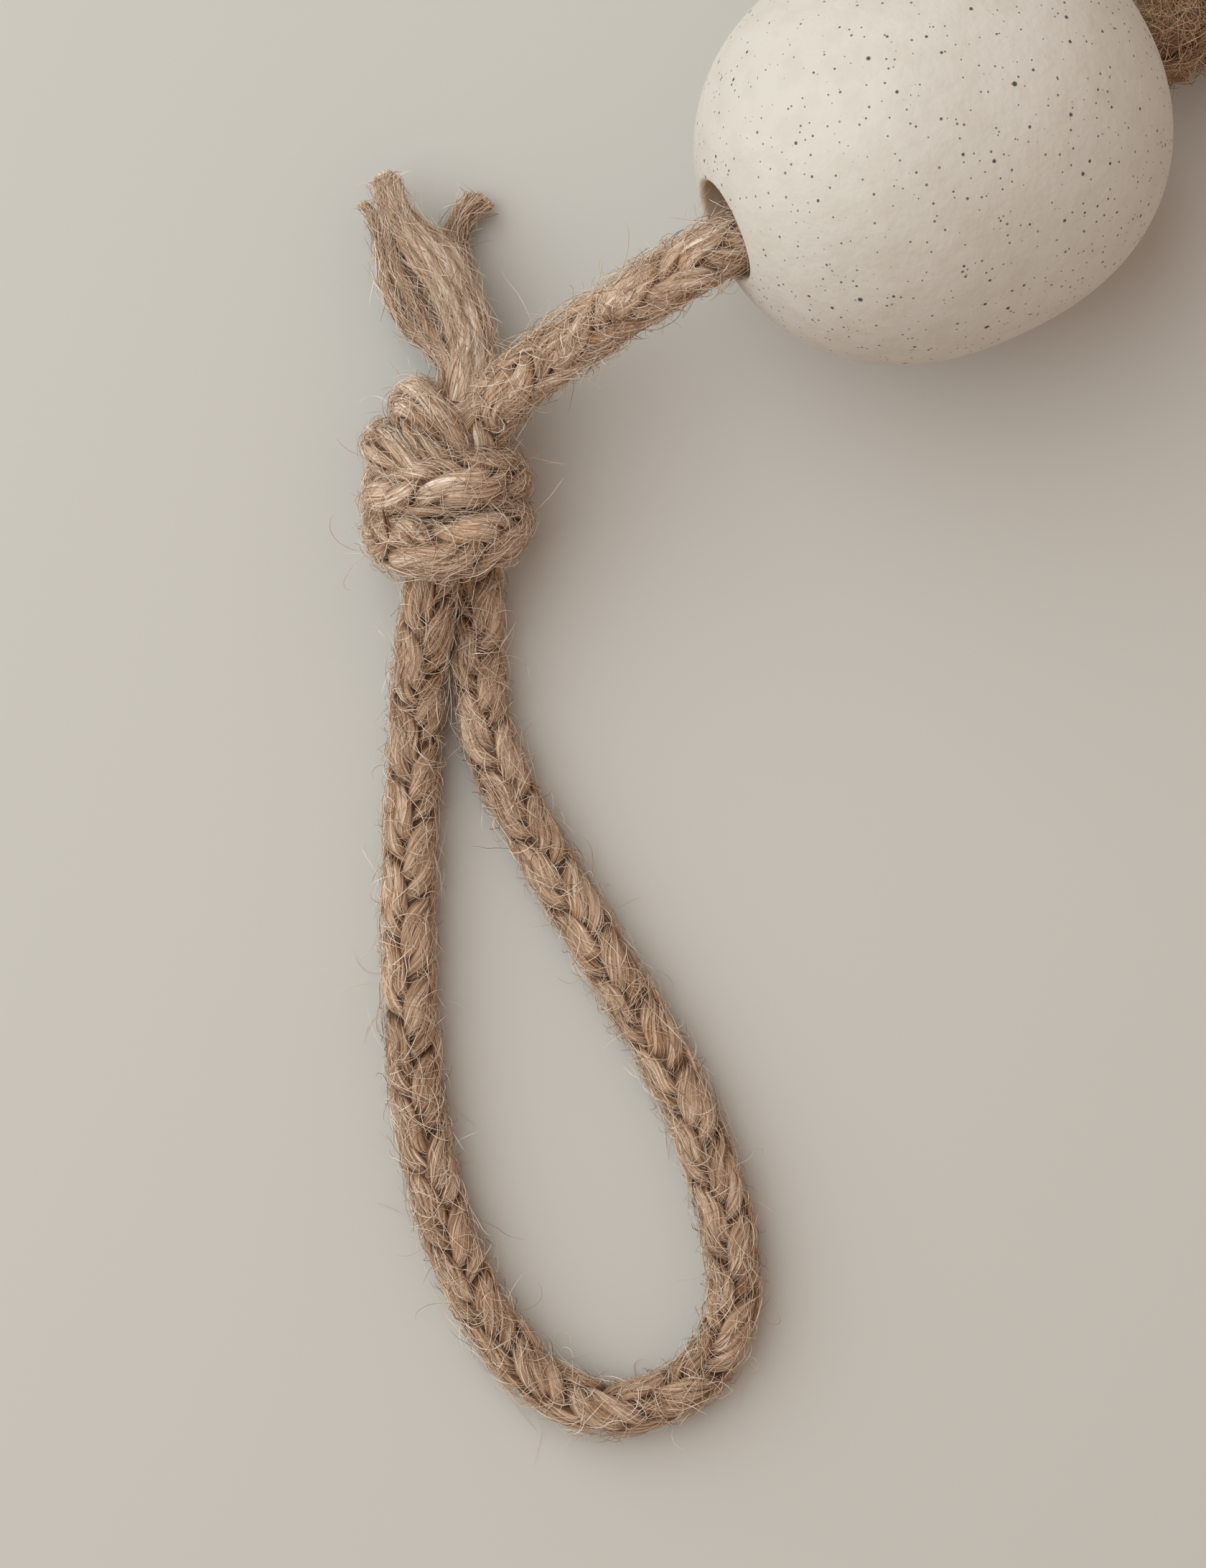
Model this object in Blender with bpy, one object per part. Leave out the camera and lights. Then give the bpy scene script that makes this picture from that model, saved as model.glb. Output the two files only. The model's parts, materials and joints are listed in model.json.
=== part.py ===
"""A stoneware bead on a plaited jute rope, with a knotted hanging loop.

The piece lies on a surface at z = 0, with the origin on that surface under the middle of the bead.
The bead's bore heads towards +X and a little +Y, and the hanging loop points towards -Y.
Metres, +Z up.
"""

import math

import bmesh
import bpy
from mathutils import Matrix, Vector

# Driving dimensions.
ROPE_DIAMETER = 0.0079

BEAD_LENGTH = 0.0652
BEAD_DIAMETER = 0.058
BEAD_FULLNESS = 2.25  # exponent of the outline: 2 is an ellipse, more is boxier
BORE_DIAMETER = 0.014
LIP_RADIUS = 0.0012
BORE_HEADING = math.radians(24.5)
BORE_TILT = math.radians(10)  # the loop-side mouth is the higher one
BEAD_SEGMENTS = 40
OUTLINE_STEPS = 18
LIP_STEPS = 4

KNOT_CENTRE = Vector((-0.0670, -0.0456, 0.0112))
KNOT_SEMI_AXES = (0.0118, 0.0139, 0.0109)
KNOT_WRAPS = 4
STOPPER_CENTRE = Vector((0.0405, 0.0225, 0.0111))
STOPPER_SEMI_AXES = (0.0105, 0.0105, 0.0108)
STOPPER_HEADING = math.radians(28.5)
STOPPER_WRAPS = 3
WRAP_GROOVE = 0.07
KNOT_SEGMENTS = 24
KNOT_RINGS = 20
KNOT_FULLNESS = 2.5
KNOT_END = 0.985  # the flat ends lie at this share of the half length

# The loop leaves the knot, runs round and comes back beside itself. The first leg rides on the second
# where they leave the knot, and both lie on the surface from there on.
LOOP_ROUTE = [
    (-0.0702, -0.0655, 0.0086),
    (-0.0709, -0.0700, 0.0067),
    (-0.0716, -0.0760, 0.0048),
    (-0.0720, -0.0830, 0.0042),
    (-0.0724, -0.0910, 0.0041),
    (-0.0728, -0.1010, 0.0041),
    (-0.0729, -0.1095, 0.0041),
    (-0.0725, -0.1215, 0.0041),
    (-0.0717, -0.1320, 0.0041),
    (-0.0699, -0.1420, 0.0041),
    (-0.0676, -0.1505, 0.0041),
    (-0.0646, -0.1585, 0.0041),
    (-0.0598, -0.1668, 0.0041),
    (-0.0532, -0.1738, 0.0041),
    (-0.0440, -0.1773, 0.0041),
    (-0.0355, -0.1752, 0.0041),
    (-0.0300, -0.1708, 0.0041),
    (-0.0271, -0.1650, 0.0041),
    (-0.0263, -0.1585, 0.0041),
    (-0.0274, -0.1505, 0.0041),
    (-0.0298, -0.1422, 0.0041),
    (-0.0329, -0.1340, 0.0041),
    (-0.0369, -0.1258, 0.0041),
    (-0.0418, -0.1175, 0.0041),
    (-0.0469, -0.1093, 0.0041),
    (-0.0518, -0.1010, 0.0041),
    (-0.0563, -0.0929, 0.0041),
    (-0.0600, -0.0850, 0.0041),
    (-0.0619, -0.0795, 0.0041),
    (-0.0627, -0.0740, 0.0041),
    (-0.0629, -0.0690, 0.0041),
    (-0.0628, -0.0655, 0.0041),
]
LOOP_PIVOT = Vector((-0.0665, -0.0625, 0.0060))

# From the top of the knot, up through the air and into the raised mouth of the bore.
NECK_ROUTE = [
    (-0.0565, -0.0313, 0.0178),
    (-0.0527, -0.0288, 0.0199),
    (-0.0488, -0.0262, 0.0223),
    (-0.0440, -0.0234, 0.0254),
    (-0.0397, -0.0210, 0.0283),
    (-0.0361, -0.0190, 0.0306),
    (-0.0328, -0.0172, 0.0322),
    (-0.0295, -0.0154, 0.0329),
    (-0.0265, -0.0138, 0.0329),
    (-0.0239, -0.0124, 0.0325),
]

# The rope's place in the bore: along the bore from the bead's middle, sideways and upwards.
BORE_RUN = [
    (-0.0220, -0.0014, -0.0018),
    (-0.0110, -0.0008, -0.0021),
    (0.0000, -0.0002, -0.0022),
    (0.0110, 0.0002, -0.0022),
    (0.0220, 0.0004, -0.0022),
    (0.0300, 0.0004, -0.0024),
    (0.0335, 0.0004, -0.0027),
]

LONG_TAIL_ROUTE = [
    (-0.0649, -0.0268, 0.0092),
    (-0.0659, -0.0225, 0.0091),
    (-0.0684, -0.0178, 0.0090),
    (-0.0712, -0.0128, 0.0088),
    (-0.0737, -0.0075, 0.0082),
    (-0.0757, -0.0015, 0.0075),
]
LONG_TAIL_SECTIONS = [  # half width and half height, from the knot to the cut end
    (0.0041, 0.0038),
    (0.0050, 0.0038),
    (0.0060, 0.0037),
    (0.0056, 0.0035),
    (0.0042, 0.0029),
    (0.0026, 0.0022),
]
SHORT_TAIL_ROUTE = [
    (-0.0648, -0.0268, 0.0026),
    (-0.0652, -0.0220, 0.0025),
    (-0.0662, -0.0165, 0.0025),
    (-0.0664, -0.0115, 0.0025),
    (-0.0650, -0.0068, 0.0025),
    (-0.0622, -0.0035, 0.0025),
]
SHORT_TAIL_SECTIONS = [
    (0.0022, 0.0021),
    (0.0022, 0.0021),
    (0.0022, 0.0021),
    (0.0021, 0.0021),
    (0.0021, 0.0021),
    (0.0022, 0.0020),
]
STOPPER_TAIL_ROUTE = [
    (0.0538, 0.0312, 0.0062),
    (0.0583, 0.0345, 0.0049),
    (0.0632, 0.0375, 0.0043),
    (0.0685, 0.0404, 0.0042),
    (0.0737, 0.0440, 0.0042),
    (0.0780, 0.0487, 0.0042),
]
STOPPER_TAIL_SECTIONS = [
    (0.0040, 0.0039),
    (0.0040, 0.0039),
    (0.0041, 0.0039),
    (0.0046, 0.0038),
    (0.0046, 0.0035),
    (0.0030, 0.0025),
]

POINT_SPACING = 2 * ROPE_DIAMETER
FEWEST_POINTS = 10
BALL_ANGLES = (80, 60, 40, 20)  # rings of a rounded rope end, in degrees from the rope
TAIL_RINGS = 11
TAIL_SEGMENTS = 12
TUBE_QUARTER_STEPS = 4
SMALLEST_CREASE = math.radians(50)


def clear_scene():
    for obj in list(bpy.data.objects):
        bpy.data.objects.remove(obj)


def material(name, colour, roughness):
    made = bpy.data.materials.new(name)
    made.use_nodes = True
    shader = made.node_tree.nodes["Principled BSDF"]
    shader.inputs["Base Color"].default_value = (*colour, 1)
    shader.inputs["Roughness"].default_value = roughness
    shader.inputs["Metallic"].default_value = 0.0
    return made


def smooth_route(points, per_span=12):
    """Points close together on one smooth curve (Catmull-Rom) through the route's own points."""
    knots = [Vector(p) for p in points]
    knots = [2 * knots[0] - knots[1]] + knots + [2 * knots[-1] - knots[-2]]
    made = []
    for a, b, c, d in zip(knots, knots[1:], knots[2:], knots[3:]):
        for step in range(per_span):
            t = step / per_span
            made.append(
                0.5
                * (
                    2 * b
                    + (c - a) * t
                    + (2 * a - 5 * b + 4 * c - d) * t**2
                    + (3 * b - a - 3 * c + d) * t**3
                )
            )
    return made + [knots[-2]]


def evenly(points, count):
    """count points at equal distances along the curve."""
    lengths = [0.0]
    for a, b in zip(points, points[1:]):
        lengths.append(lengths[-1] + (b - a).length)
    made = []
    i = 0
    for k in range(count):
        wanted = lengths[-1] * k / (count - 1)
        while i < len(points) - 2 and lengths[i + 1] < wanted:
            i += 1
        share = (wanted - lengths[i]) / (lengths[i + 1] - lengths[i])
        made.append(points[i].lerp(points[i + 1], share))
    return made


def route_length(points):
    return sum((b - a).length for a, b in zip(points, points[1:]))


def ball_rings(centre, outward, radius):
    """Centre and width factor of the rings that round off a rope end, tip first."""
    return [
        (
            centre + outward * radius * math.sin(math.radians(angle)),
            math.cos(math.radians(angle)),
        )
        for angle in BALL_ANGLES
    ]


def rope_tube(name, route, origin, look, round_start=False, round_end=False):
    """A plain tube along a rope's route, as a curve object whose origin is the given point."""
    curve_points = smooth_route(route)
    count = max(FEWEST_POINTS, round(route_length(curve_points) / POINT_SPACING) + 1)
    centres = evenly(curve_points, count)
    rings = [(point, 1.0) for point in centres]
    radius = ROPE_DIAMETER / 2
    if round_start:
        outward = (centres[0] - centres[1]).normalized()
        rings = ball_rings(centres[0], outward, radius) + rings
    if round_end:
        outward = (centres[-1] - centres[-2]).normalized()
        rings = rings + ball_rings(centres[-1], outward, radius)[::-1]
    curve = bpy.data.curves.new(name, "CURVE")
    curve.dimensions = "3D"
    curve.bevel_depth = radius
    curve.bevel_resolution = TUBE_QUARTER_STEPS
    curve.use_fill_caps = True
    spline = curve.splines.new("POLY")
    spline.points.add(len(rings) - 1)
    for point, (centre, width) in zip(spline.points, rings):
        point.co = (*(centre - origin), 1)
        point.radius = width
    curve.materials.append(look)
    return add_object(name, curve, origin)


def add_object(name, data, origin, turn=None):
    obj = bpy.data.objects.new(name, data)
    obj.location = origin
    if turn is not None:
        obj.rotation_euler = turn.to_euler()
    bpy.context.scene.collection.objects.link(obj)
    return obj


def mesh_of_rings(name, rings, look):
    """A closed mesh from rings of equally many points, with a flat cap on each end."""
    build = bmesh.new()
    loops = [[build.verts.new(point) for point in ring] for ring in rings]
    for low, high in zip(loops, loops[1:]):
        for i in range(len(low)):
            j = (i + 1) % len(low)
            build.faces.new((low[i], low[j], high[j], high[i]))
    build.faces.new(loops[0][::-1])
    build.faces.new(loops[-1])
    bmesh.ops.recalc_face_normals(build, faces=build.faces)
    mesh = bpy.data.meshes.new(name)
    build.to_mesh(mesh)
    build.free()
    mesh.shade_smooth()
    mesh.set_sharp_from_angle(angle=SMALLEST_CREASE)
    mesh.materials.append(look)
    return mesh


def bead_outline():
    """The bead's section beside its axis (along the bore, from the axis), once round it."""
    half_length = BEAD_LENGTH / 2
    half_width = BEAD_DIAMETER / 2
    bore = BORE_DIAMETER / 2
    lip = bore + LIP_RADIUS
    power = 2 / BEAD_FULLNESS
    start = math.asin((lip / half_width) ** (1 / power))
    outer = []
    for step in range(OUTLINE_STEPS + 1):
        angle = start + (math.pi - 2 * start) * step / OUTLINE_STEPS
        along = math.copysign(abs(math.cos(angle)) ** power, math.cos(angle))
        outer.append((half_length * along, half_width * math.sin(angle) ** power))
    mouth = outer[0][0] - LIP_RADIUS
    rounding = []
    for step in range(1, LIP_STEPS + 1):
        angle = math.pi / 2 * step / LIP_STEPS
        rounding.append(
            (mouth + LIP_RADIUS * math.cos(angle), lip - LIP_RADIUS * math.sin(angle))
        )
    far_lip = [(-along, out) for along, out in rounding]
    return outer + far_lip + rounding[::-1]


def bead_turn():
    heading = Matrix.Rotation(BORE_HEADING, 4, "Z")
    tilt = Matrix.Rotation(BORE_TILT, 4, "Y")
    return heading @ tilt


def bead_centre():
    """The bead's middle: its lowest point touches the surface."""
    reach = max(
        out * math.cos(BORE_TILT) + along * math.sin(BORE_TILT)
        for along, out in bead_outline()
    )
    return Vector((0, 0, reach))


def make_bead(look):
    build = bmesh.new()
    section = [build.verts.new((along, 0, -out)) for along, out in bead_outline()]
    edges = [
        build.edges.new((a, b)) for a, b in zip(section, section[1:] + section[:1])
    ]
    bmesh.ops.spin(
        build,
        geom=section + edges,
        cent=(0, 0, 0),
        axis=(1, 0, 0),
        angle=2 * math.pi,
        steps=BEAD_SEGMENTS,
        use_merge=True,
    )
    bmesh.ops.remove_doubles(build, verts=build.verts, dist=1e-6)
    bmesh.ops.recalc_face_normals(build, faces=build.faces)
    mesh = bpy.data.meshes.new("bead")
    build.to_mesh(mesh)
    build.free()
    mesh.shade_smooth()
    mesh.materials.append(look)
    return add_object("bead", mesh, bead_centre(), bead_turn())


def make_knot(name, centre, semi_axes, heading, wraps, look):
    """A barrel of rope wraps round its own Y axis, turned to the heading."""
    rings = []
    for k in range(KNOT_RINGS + 1):
        along = -KNOT_END * math.cos(math.pi * k / KNOT_RINGS)
        envelope = (1 - abs(along) ** KNOT_FULLNESS) ** (1 / KNOT_FULLNESS)
        groove = 0.5 + 0.5 * math.cos(math.pi * wraps * (along + 1))
        width = envelope * (1 - WRAP_GROOVE * groove)
        rings.append(
            [
                (
                    semi_axes[0] * width * math.cos(angle),
                    semi_axes[1] * along,
                    semi_axes[2] * width * math.sin(angle),
                )
                for angle in circle(KNOT_SEGMENTS)
            ]
        )
    mesh = mesh_of_rings(name, rings, look)
    return add_object(name, mesh, centre, Matrix.Rotation(heading, 4, "Z"))


def circle(count):
    return [2 * math.pi * k / count for k in range(count)]


def make_tail(name, route, sections, look):
    """An unlaid rope end: wide and low where its yarns part, rounded at the knot, cut at the tip."""
    centres = evenly(smooth_route(route), TAIL_RINGS)
    origin = Vector(route[0])
    rings = []
    outward = (centres[0] - centres[1]).normalized()
    for centre, width in ball_rings(centres[0], outward, sections[0][1]):
        rings.append((centre, sections[0][0] * width, sections[0][1] * width, -outward))
    for k, centre in enumerate(centres):
        place = k / (TAIL_RINGS - 1) * (len(sections) - 1)
        i = min(int(place), len(sections) - 2)
        wide, high = (
            sections[i][n] + (sections[i + 1][n] - sections[i][n]) * (place - i)
            for n in (0, 1)
        )
        ahead = centres[min(k + 1, TAIL_RINGS - 1)]
        behind = centres[max(k - 1, 0)]
        rings.append((centre, wide, high, (ahead - behind).normalized()))
    corners = []
    for centre, wide, high, forward in rings:
        side = forward.cross(Vector((0, 0, 1))).normalized()
        up = side.cross(forward)
        corners.append(
            [
                centre - origin + side * wide * math.cos(a) + up * high * math.sin(a)
                for a in circle(TAIL_SEGMENTS)
            ]
        )
    return add_object(name, mesh_of_rings(name, corners, look), origin)


def bore_point(along, sideways, upwards):
    return bead_centre() + bead_turn().to_3x3() @ Vector((along, sideways, upwards))


def make_ropes(look):
    rope_tube("hanging_loop", LOOP_ROUTE, LOOP_PIVOT, look, True, True)
    rope_tube("neck_rope", NECK_ROUTE, Vector(NECK_ROUTE[0]), look, True, True)
    run = [bore_point(*place) for place in BORE_RUN]
    rope_tube("bore_rope", run, Vector(NECK_ROUTE[-1]), look)
    make_tail("loop_tail_long", LONG_TAIL_ROUTE, LONG_TAIL_SECTIONS, look)
    make_tail("loop_tail_short", SHORT_TAIL_ROUTE, SHORT_TAIL_SECTIONS, look)
    make_tail("stopper_tail", STOPPER_TAIL_ROUTE, STOPPER_TAIL_SECTIONS, look)


def main():
    clear_scene()
    jute = material("jute_rope", (0.31, 0.18, 0.105), 0.9)
    knotted = material("jute_knot", (0.30, 0.17, 0.10), 0.9)
    stoneware = material("stoneware", (0.62, 0.54, 0.45), 0.75)
    make_bead(stoneware)
    make_knot("loop_knot", KNOT_CENTRE, KNOT_SEMI_AXES, 0, KNOT_WRAPS, knotted)
    make_knot(
        "stopper_knot",
        STOPPER_CENTRE,
        STOPPER_SEMI_AXES,
        STOPPER_HEADING - math.pi / 2,
        STOPPER_WRAPS,
        knotted,
    )
    make_ropes(jute)


main()
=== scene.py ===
"""The looks of a speckled stoneware bead on a plaited jute rope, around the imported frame. Metres.

Every rope is built from its yarns. A rope is first laid out straight, in its own measure: x across, y over
and s along. Then it is placed along its route, so that yarns, hairs and cut ends all follow the same curve.
"""

import json
import math

import bpy
import numpy as np
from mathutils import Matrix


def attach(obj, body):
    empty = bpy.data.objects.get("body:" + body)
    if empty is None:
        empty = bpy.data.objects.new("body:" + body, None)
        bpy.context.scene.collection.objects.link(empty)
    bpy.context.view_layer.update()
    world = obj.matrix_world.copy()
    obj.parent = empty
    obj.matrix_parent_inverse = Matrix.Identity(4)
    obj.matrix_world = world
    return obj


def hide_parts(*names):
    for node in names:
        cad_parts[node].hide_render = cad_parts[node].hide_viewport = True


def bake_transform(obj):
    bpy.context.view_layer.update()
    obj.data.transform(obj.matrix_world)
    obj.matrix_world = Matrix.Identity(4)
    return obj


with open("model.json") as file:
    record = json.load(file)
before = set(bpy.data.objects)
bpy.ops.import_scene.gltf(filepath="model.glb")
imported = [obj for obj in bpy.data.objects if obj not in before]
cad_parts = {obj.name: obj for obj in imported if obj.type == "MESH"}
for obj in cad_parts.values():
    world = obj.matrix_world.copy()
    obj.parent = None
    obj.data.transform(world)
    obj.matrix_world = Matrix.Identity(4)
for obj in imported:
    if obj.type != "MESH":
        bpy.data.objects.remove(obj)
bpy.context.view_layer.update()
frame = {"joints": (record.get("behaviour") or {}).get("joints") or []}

CHANCE = np.random.default_rng(8)

# The camera looks straight down on the surface that the object lies on.
CAMERA_HEIGHT = 0.6
VIEW_CENTRE = (-0.045, -0.088)
VIEW_TALL = 0.2257  # what the picture's height takes in at the surface
SENSOR_MM = 24

ROPE_DIAMETER = 0.0079
ROPE_RADIUS = ROPE_DIAMETER / 2
FUZZY_RADIUS = ROPE_RADIUS * 1.04  # where the rope's surface is roughed up

# The routes of the ropes and tails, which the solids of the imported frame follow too.
LOOP_ROUTE = [
    (-0.0675, -0.0500, 0.0125),
    (-0.0692, -0.0590, 0.0112),
    (-0.0702, -0.0655, 0.0086),
    (-0.0709, -0.0700, 0.0067),
    (-0.0716, -0.0760, 0.0048),
    (-0.0720, -0.0830, 0.0042),
    (-0.0724, -0.0910, 0.0041),
    (-0.0728, -0.1010, 0.0041),
    (-0.0729, -0.1095, 0.0041),
    (-0.0725, -0.1215, 0.0041),
    (-0.0717, -0.1320, 0.0041),
    (-0.0699, -0.1420, 0.0041),
    (-0.0676, -0.1505, 0.0041),
    (-0.0646, -0.1585, 0.0041),
    (-0.0598, -0.1668, 0.0041),
    (-0.0532, -0.1738, 0.0041),
    (-0.0440, -0.1773, 0.0041),
    (-0.0355, -0.1752, 0.0041),
    (-0.0300, -0.1708, 0.0041),
    (-0.0271, -0.1650, 0.0041),
    (-0.0263, -0.1585, 0.0041),
    (-0.0274, -0.1505, 0.0041),
    (-0.0298, -0.1422, 0.0041),
    (-0.0329, -0.1340, 0.0041),
    (-0.0369, -0.1258, 0.0041),
    (-0.0418, -0.1175, 0.0041),
    (-0.0469, -0.1093, 0.0041),
    (-0.0518, -0.1010, 0.0041),
    (-0.0563, -0.0929, 0.0041),
    (-0.0600, -0.0850, 0.0041),
    (-0.0619, -0.0795, 0.0041),
    (-0.0627, -0.0740, 0.0041),
    (-0.0629, -0.0690, 0.0041),
    (-0.0628, -0.0655, 0.0043),
    (-0.0632, -0.0590, 0.0058),
    (-0.0640, -0.0500, 0.0090),
]
NECK_ROUTE = [
    (-0.0640, -0.0420, 0.0120),
    (-0.0603, -0.0352, 0.0152),
    (-0.0565, -0.0313, 0.0178),
    (-0.0527, -0.0288, 0.0199),
    (-0.0488, -0.0262, 0.0223),
    (-0.0440, -0.0234, 0.0254),
    (-0.0397, -0.0210, 0.0283),
    (-0.0361, -0.0190, 0.0306),
    (-0.0328, -0.0172, 0.0322),
    (-0.0295, -0.0154, 0.0329),
    (-0.0265, -0.0138, 0.0329),
    (-0.0239, -0.0124, 0.0325),
]
BORE_RUN = [  # along the bore from the bead's middle, sideways and upwards
    (-0.0150, -0.0011, -0.0020),
    (-0.0050, -0.0004, -0.0022),
    (0.0050, 0.0001, -0.0022),
    (0.0150, 0.0003, -0.0022),
    (0.0250, 0.0004, -0.0023),
    (0.0335, 0.0004, -0.0027),
    (0.0400, 0.0006, -0.0040),
    (0.0440, 0.0018, -0.0064),
    (0.0478, 0.0032, -0.0092),
]
LONG_TAIL_ROUTE = [
    (-0.0652, -0.0360, 0.0118),
    (-0.0648, -0.0310, 0.0104),
    (-0.0649, -0.0268, 0.0092),
    (-0.0659, -0.0225, 0.0091),
    (-0.0684, -0.0178, 0.0090),
    (-0.0712, -0.0128, 0.0088),
    (-0.0737, -0.0075, 0.0082),
    (-0.0757, -0.0015, 0.0075),
]
SHORT_TAIL_ROUTE = [
    (-0.0655, -0.0360, 0.0060),
    (-0.0648, -0.0268, 0.0028),
    (-0.0652, -0.0220, 0.0026),
    (-0.0662, -0.0165, 0.0026),
    (-0.0664, -0.0115, 0.0026),
    (-0.0650, -0.0068, 0.0026),
    (-0.0622, -0.0035, 0.0026),
]
STOPPER_TAIL_ROUTE = [
    (0.0450, 0.0255, 0.0100),
    (0.0500, 0.0285, 0.0075),
    (0.0538, 0.0312, 0.0062),
    (0.0583, 0.0345, 0.0049),
    (0.0632, 0.0375, 0.0043),
    (0.0685, 0.0404, 0.0042),
    (0.0737, 0.0440, 0.0042),
    (0.0780, 0.0487, 0.0042),
]

# The plait: two right-hand and two left-hand pairs of yarns. Each passes over and under the other hand's.
PITCH = 0.0223
PLAIT_STEPS = 72
LOOSE_RADIUS = 0.005  # before it's pulled tight: how far out the yarns run, and how much further in and out
LOOSE_WAVE = 0.002
PAIR_HALF_ANGLE = math.radians(26)
PULLING_ROUNDS = 320
PULL_KEEP = 0.994  # the share of its distance from the middle that a yarn keeps in each round
HOLDING_FROM = 0.4  # the share of the rounds after which the yarns outside OUTER_LIMIT are held in
OUTER_GIVE = 0.4
PUSH_SHARE = 0.45
EASING_ROUNDS = 36
YARN_CLOSEST = 0.00205  # how close the middles of two yarns may come
OUTER_LIMIT = 0.00275
OUTER_RADIUS = 0.00288
FLOAT_FULLNESS = 0.75  # below 1, a yarn stays outside for longer
STRAIGHTENING = 0.10  # radians that the rope turns to and fro as its pairs straighten
CORE_RADIUS = 0.0025  # the inside of the rope, all fibres
SKIN_RADIUS = 0.00355  # further out than this, yarns are pressed flat
SKIN_GIVE = 0.5
UNEVEN = 0.02  # the share by which a yarn runs nearer or further out than it should, and over what length
UNEVEN_REACH = 0.005
WIDEST_SLANT = 1.25  # a slanting yarn measures more across the rope, up to so many times as much
WIDTH_INSIDE = 0.50  # a yarn's width in the rope's middle, and what it gains on the way out, as shares
WIDTH_GAINED = 0.60

# The yarns
YARN_HALF_WIDTH = 0.00140
YARN_HALF_HEIGHT = 0.00120
YARN_SIDES = 22
YARN_TWIST_PITCH = -0.030
RING_SPACING = 0.00045
RIDGE_COUNTS = range(3, 11)  # the waves round a yarn that make up its ridges
RIDGE_SHARES = (0.3, 1.0)
RIDGE_HEIGHT = 0.030
SWELL = 0.05
SWELL_REACH = 0.004
TONE_SPREAD = 0.4
TONE_REACH = 0.010
PAINTED_SHADE_DEPTH = 0.0018  # painted shade between the yarns: up to this far from the rope's middle it's darkest, and then it gets lighter
PAINTED_SHADE_SPAN = 0.0022
APART_SHADED_SIDE = 0.0025  # a yarn apart has this in place of that distance down its sides, for painted shade there
APART_LIT_TOP = 0.0015  # and so much more on its top, for painted light there
APART_LIGHT_SPREAD = 1.5  # above 1, the painted light of the top reaches further down
SHARP_FROM = math.radians(70)
FLOOR_GAP = 0.0001

KNOT_CENTRE = np.array((-0.0670, -0.0456, 0.0112))


# ---------------- curves

POINT_SPACING = 0.0004
SPAN_STEPS = 24  # between two points of a route, before they are spaced evenly


class Course:
    """A smooth curve (Catmull-Rom) through a route's points, with two directions across it carried along.

    x is measured across and y over, starting from the direction up.
    """

    def __init__(self, route):
        self.points = even_points(route)
        self.ahead = unit(np.gradient(self.points, axis=0))
        steps = np.linalg.norm(np.diff(self.points, axis=0), axis=1)
        self.s = np.concatenate([[0], np.cumsum(steps)])
        self.length = self.s[-1]
        across = np.cross(self.ahead[0], (0.0, 0.0, 1.0))
        carried = []
        for ahead in self.ahead:
            across = across - ahead * (across @ ahead)
            across = across / np.linalg.norm(across)
            carried.append(across)
        self.across = np.array(carried)
        self.over = np.cross(self.across, self.ahead)

    def face(self, over):
        """Turns the directions across so that y points as given at every point."""
        over = over - self.ahead * (over * self.ahead).sum(axis=1, keepdims=True)
        self.over = unit(over)
        self.across = np.cross(self.ahead, self.over)

    def at(self, values, s):
        return np.stack([np.interp(s, self.s, values[:, k]) for k in range(3)], axis=-1)

    def place(self, x, y, s):
        """World points for points across, over and along the curve. Past its ends it runs straight on."""
        beyond = s - np.clip(s, 0, self.length)
        centre = self.at(self.points, s) + self.at(self.ahead, s) * beyond[..., None]
        return centre + self.at(self.across, s) * x[..., None] + self.at(self.over, s) * y[..., None]


def unit(vectors):
    return vectors / np.linalg.norm(vectors, axis=-1, keepdims=True)


def even_points(route):
    """Points along the curve, evenly spaced at about POINT_SPACING."""
    p = np.asarray(route, float)
    p = np.vstack([2 * p[0] - p[1], p, 2 * p[-1] - p[-2]])
    t = np.linspace(0, 1, SPAN_STEPS, endpoint=False)[:, None]
    a, b, c, d = (p[k : len(p) - 3 + k, None] for k in range(4))
    spans = 0.5 * (
        2 * b + (c - a) * t + (2 * a - 5 * b + 4 * c - d) * t**2 + (3 * b - a - 3 * c + d) * t**3
    )
    fine = np.vstack([spans.reshape(-1, 3), p[-2]])
    along = np.concatenate([[0], np.cumsum(np.linalg.norm(np.diff(fine, axis=0), axis=1))])
    wanted = np.linspace(0, along[-1], max(2, round(along[-1] / POINT_SPACING) + 1))
    return np.stack([np.interp(wanted, along, fine[:, k]) for k in range(3)], axis=1)


def wander(s, size, reach):
    """A slow random wave along s: about size high, with features about reach long."""
    knots = np.arange(s.min() - reach, s.max() + 2 * reach, reach)
    return np.interp(s, knots, CHANCE.normal(0, size, len(knots)))


# ---------------- yarn meshes


def add_object(name, data):
    obj = bpy.data.objects.new(name, data)
    bpy.context.scene.collection.objects.link(obj)
    return obj


def add_mesh(name, points, faces, look, layers):
    """A smooth mesh. layers are the named values at its points that its material reads."""
    mesh = bpy.data.meshes.new(name)
    mesh.from_pydata(points.reshape(-1, 3).tolist(), [], faces)
    for word, values in layers.items():
        vectors = values.size > len(mesh.vertices)
        layer = mesh.attributes.new(word, "FLOAT_VECTOR" if vectors else "FLOAT", "POINT")
        layer.data.foreach_set("vector" if vectors else "value", values.astype(np.float32).ravel())
    mesh.shade_smooth()
    mesh.materials.append(look)
    return add_object(name, mesh)


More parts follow.
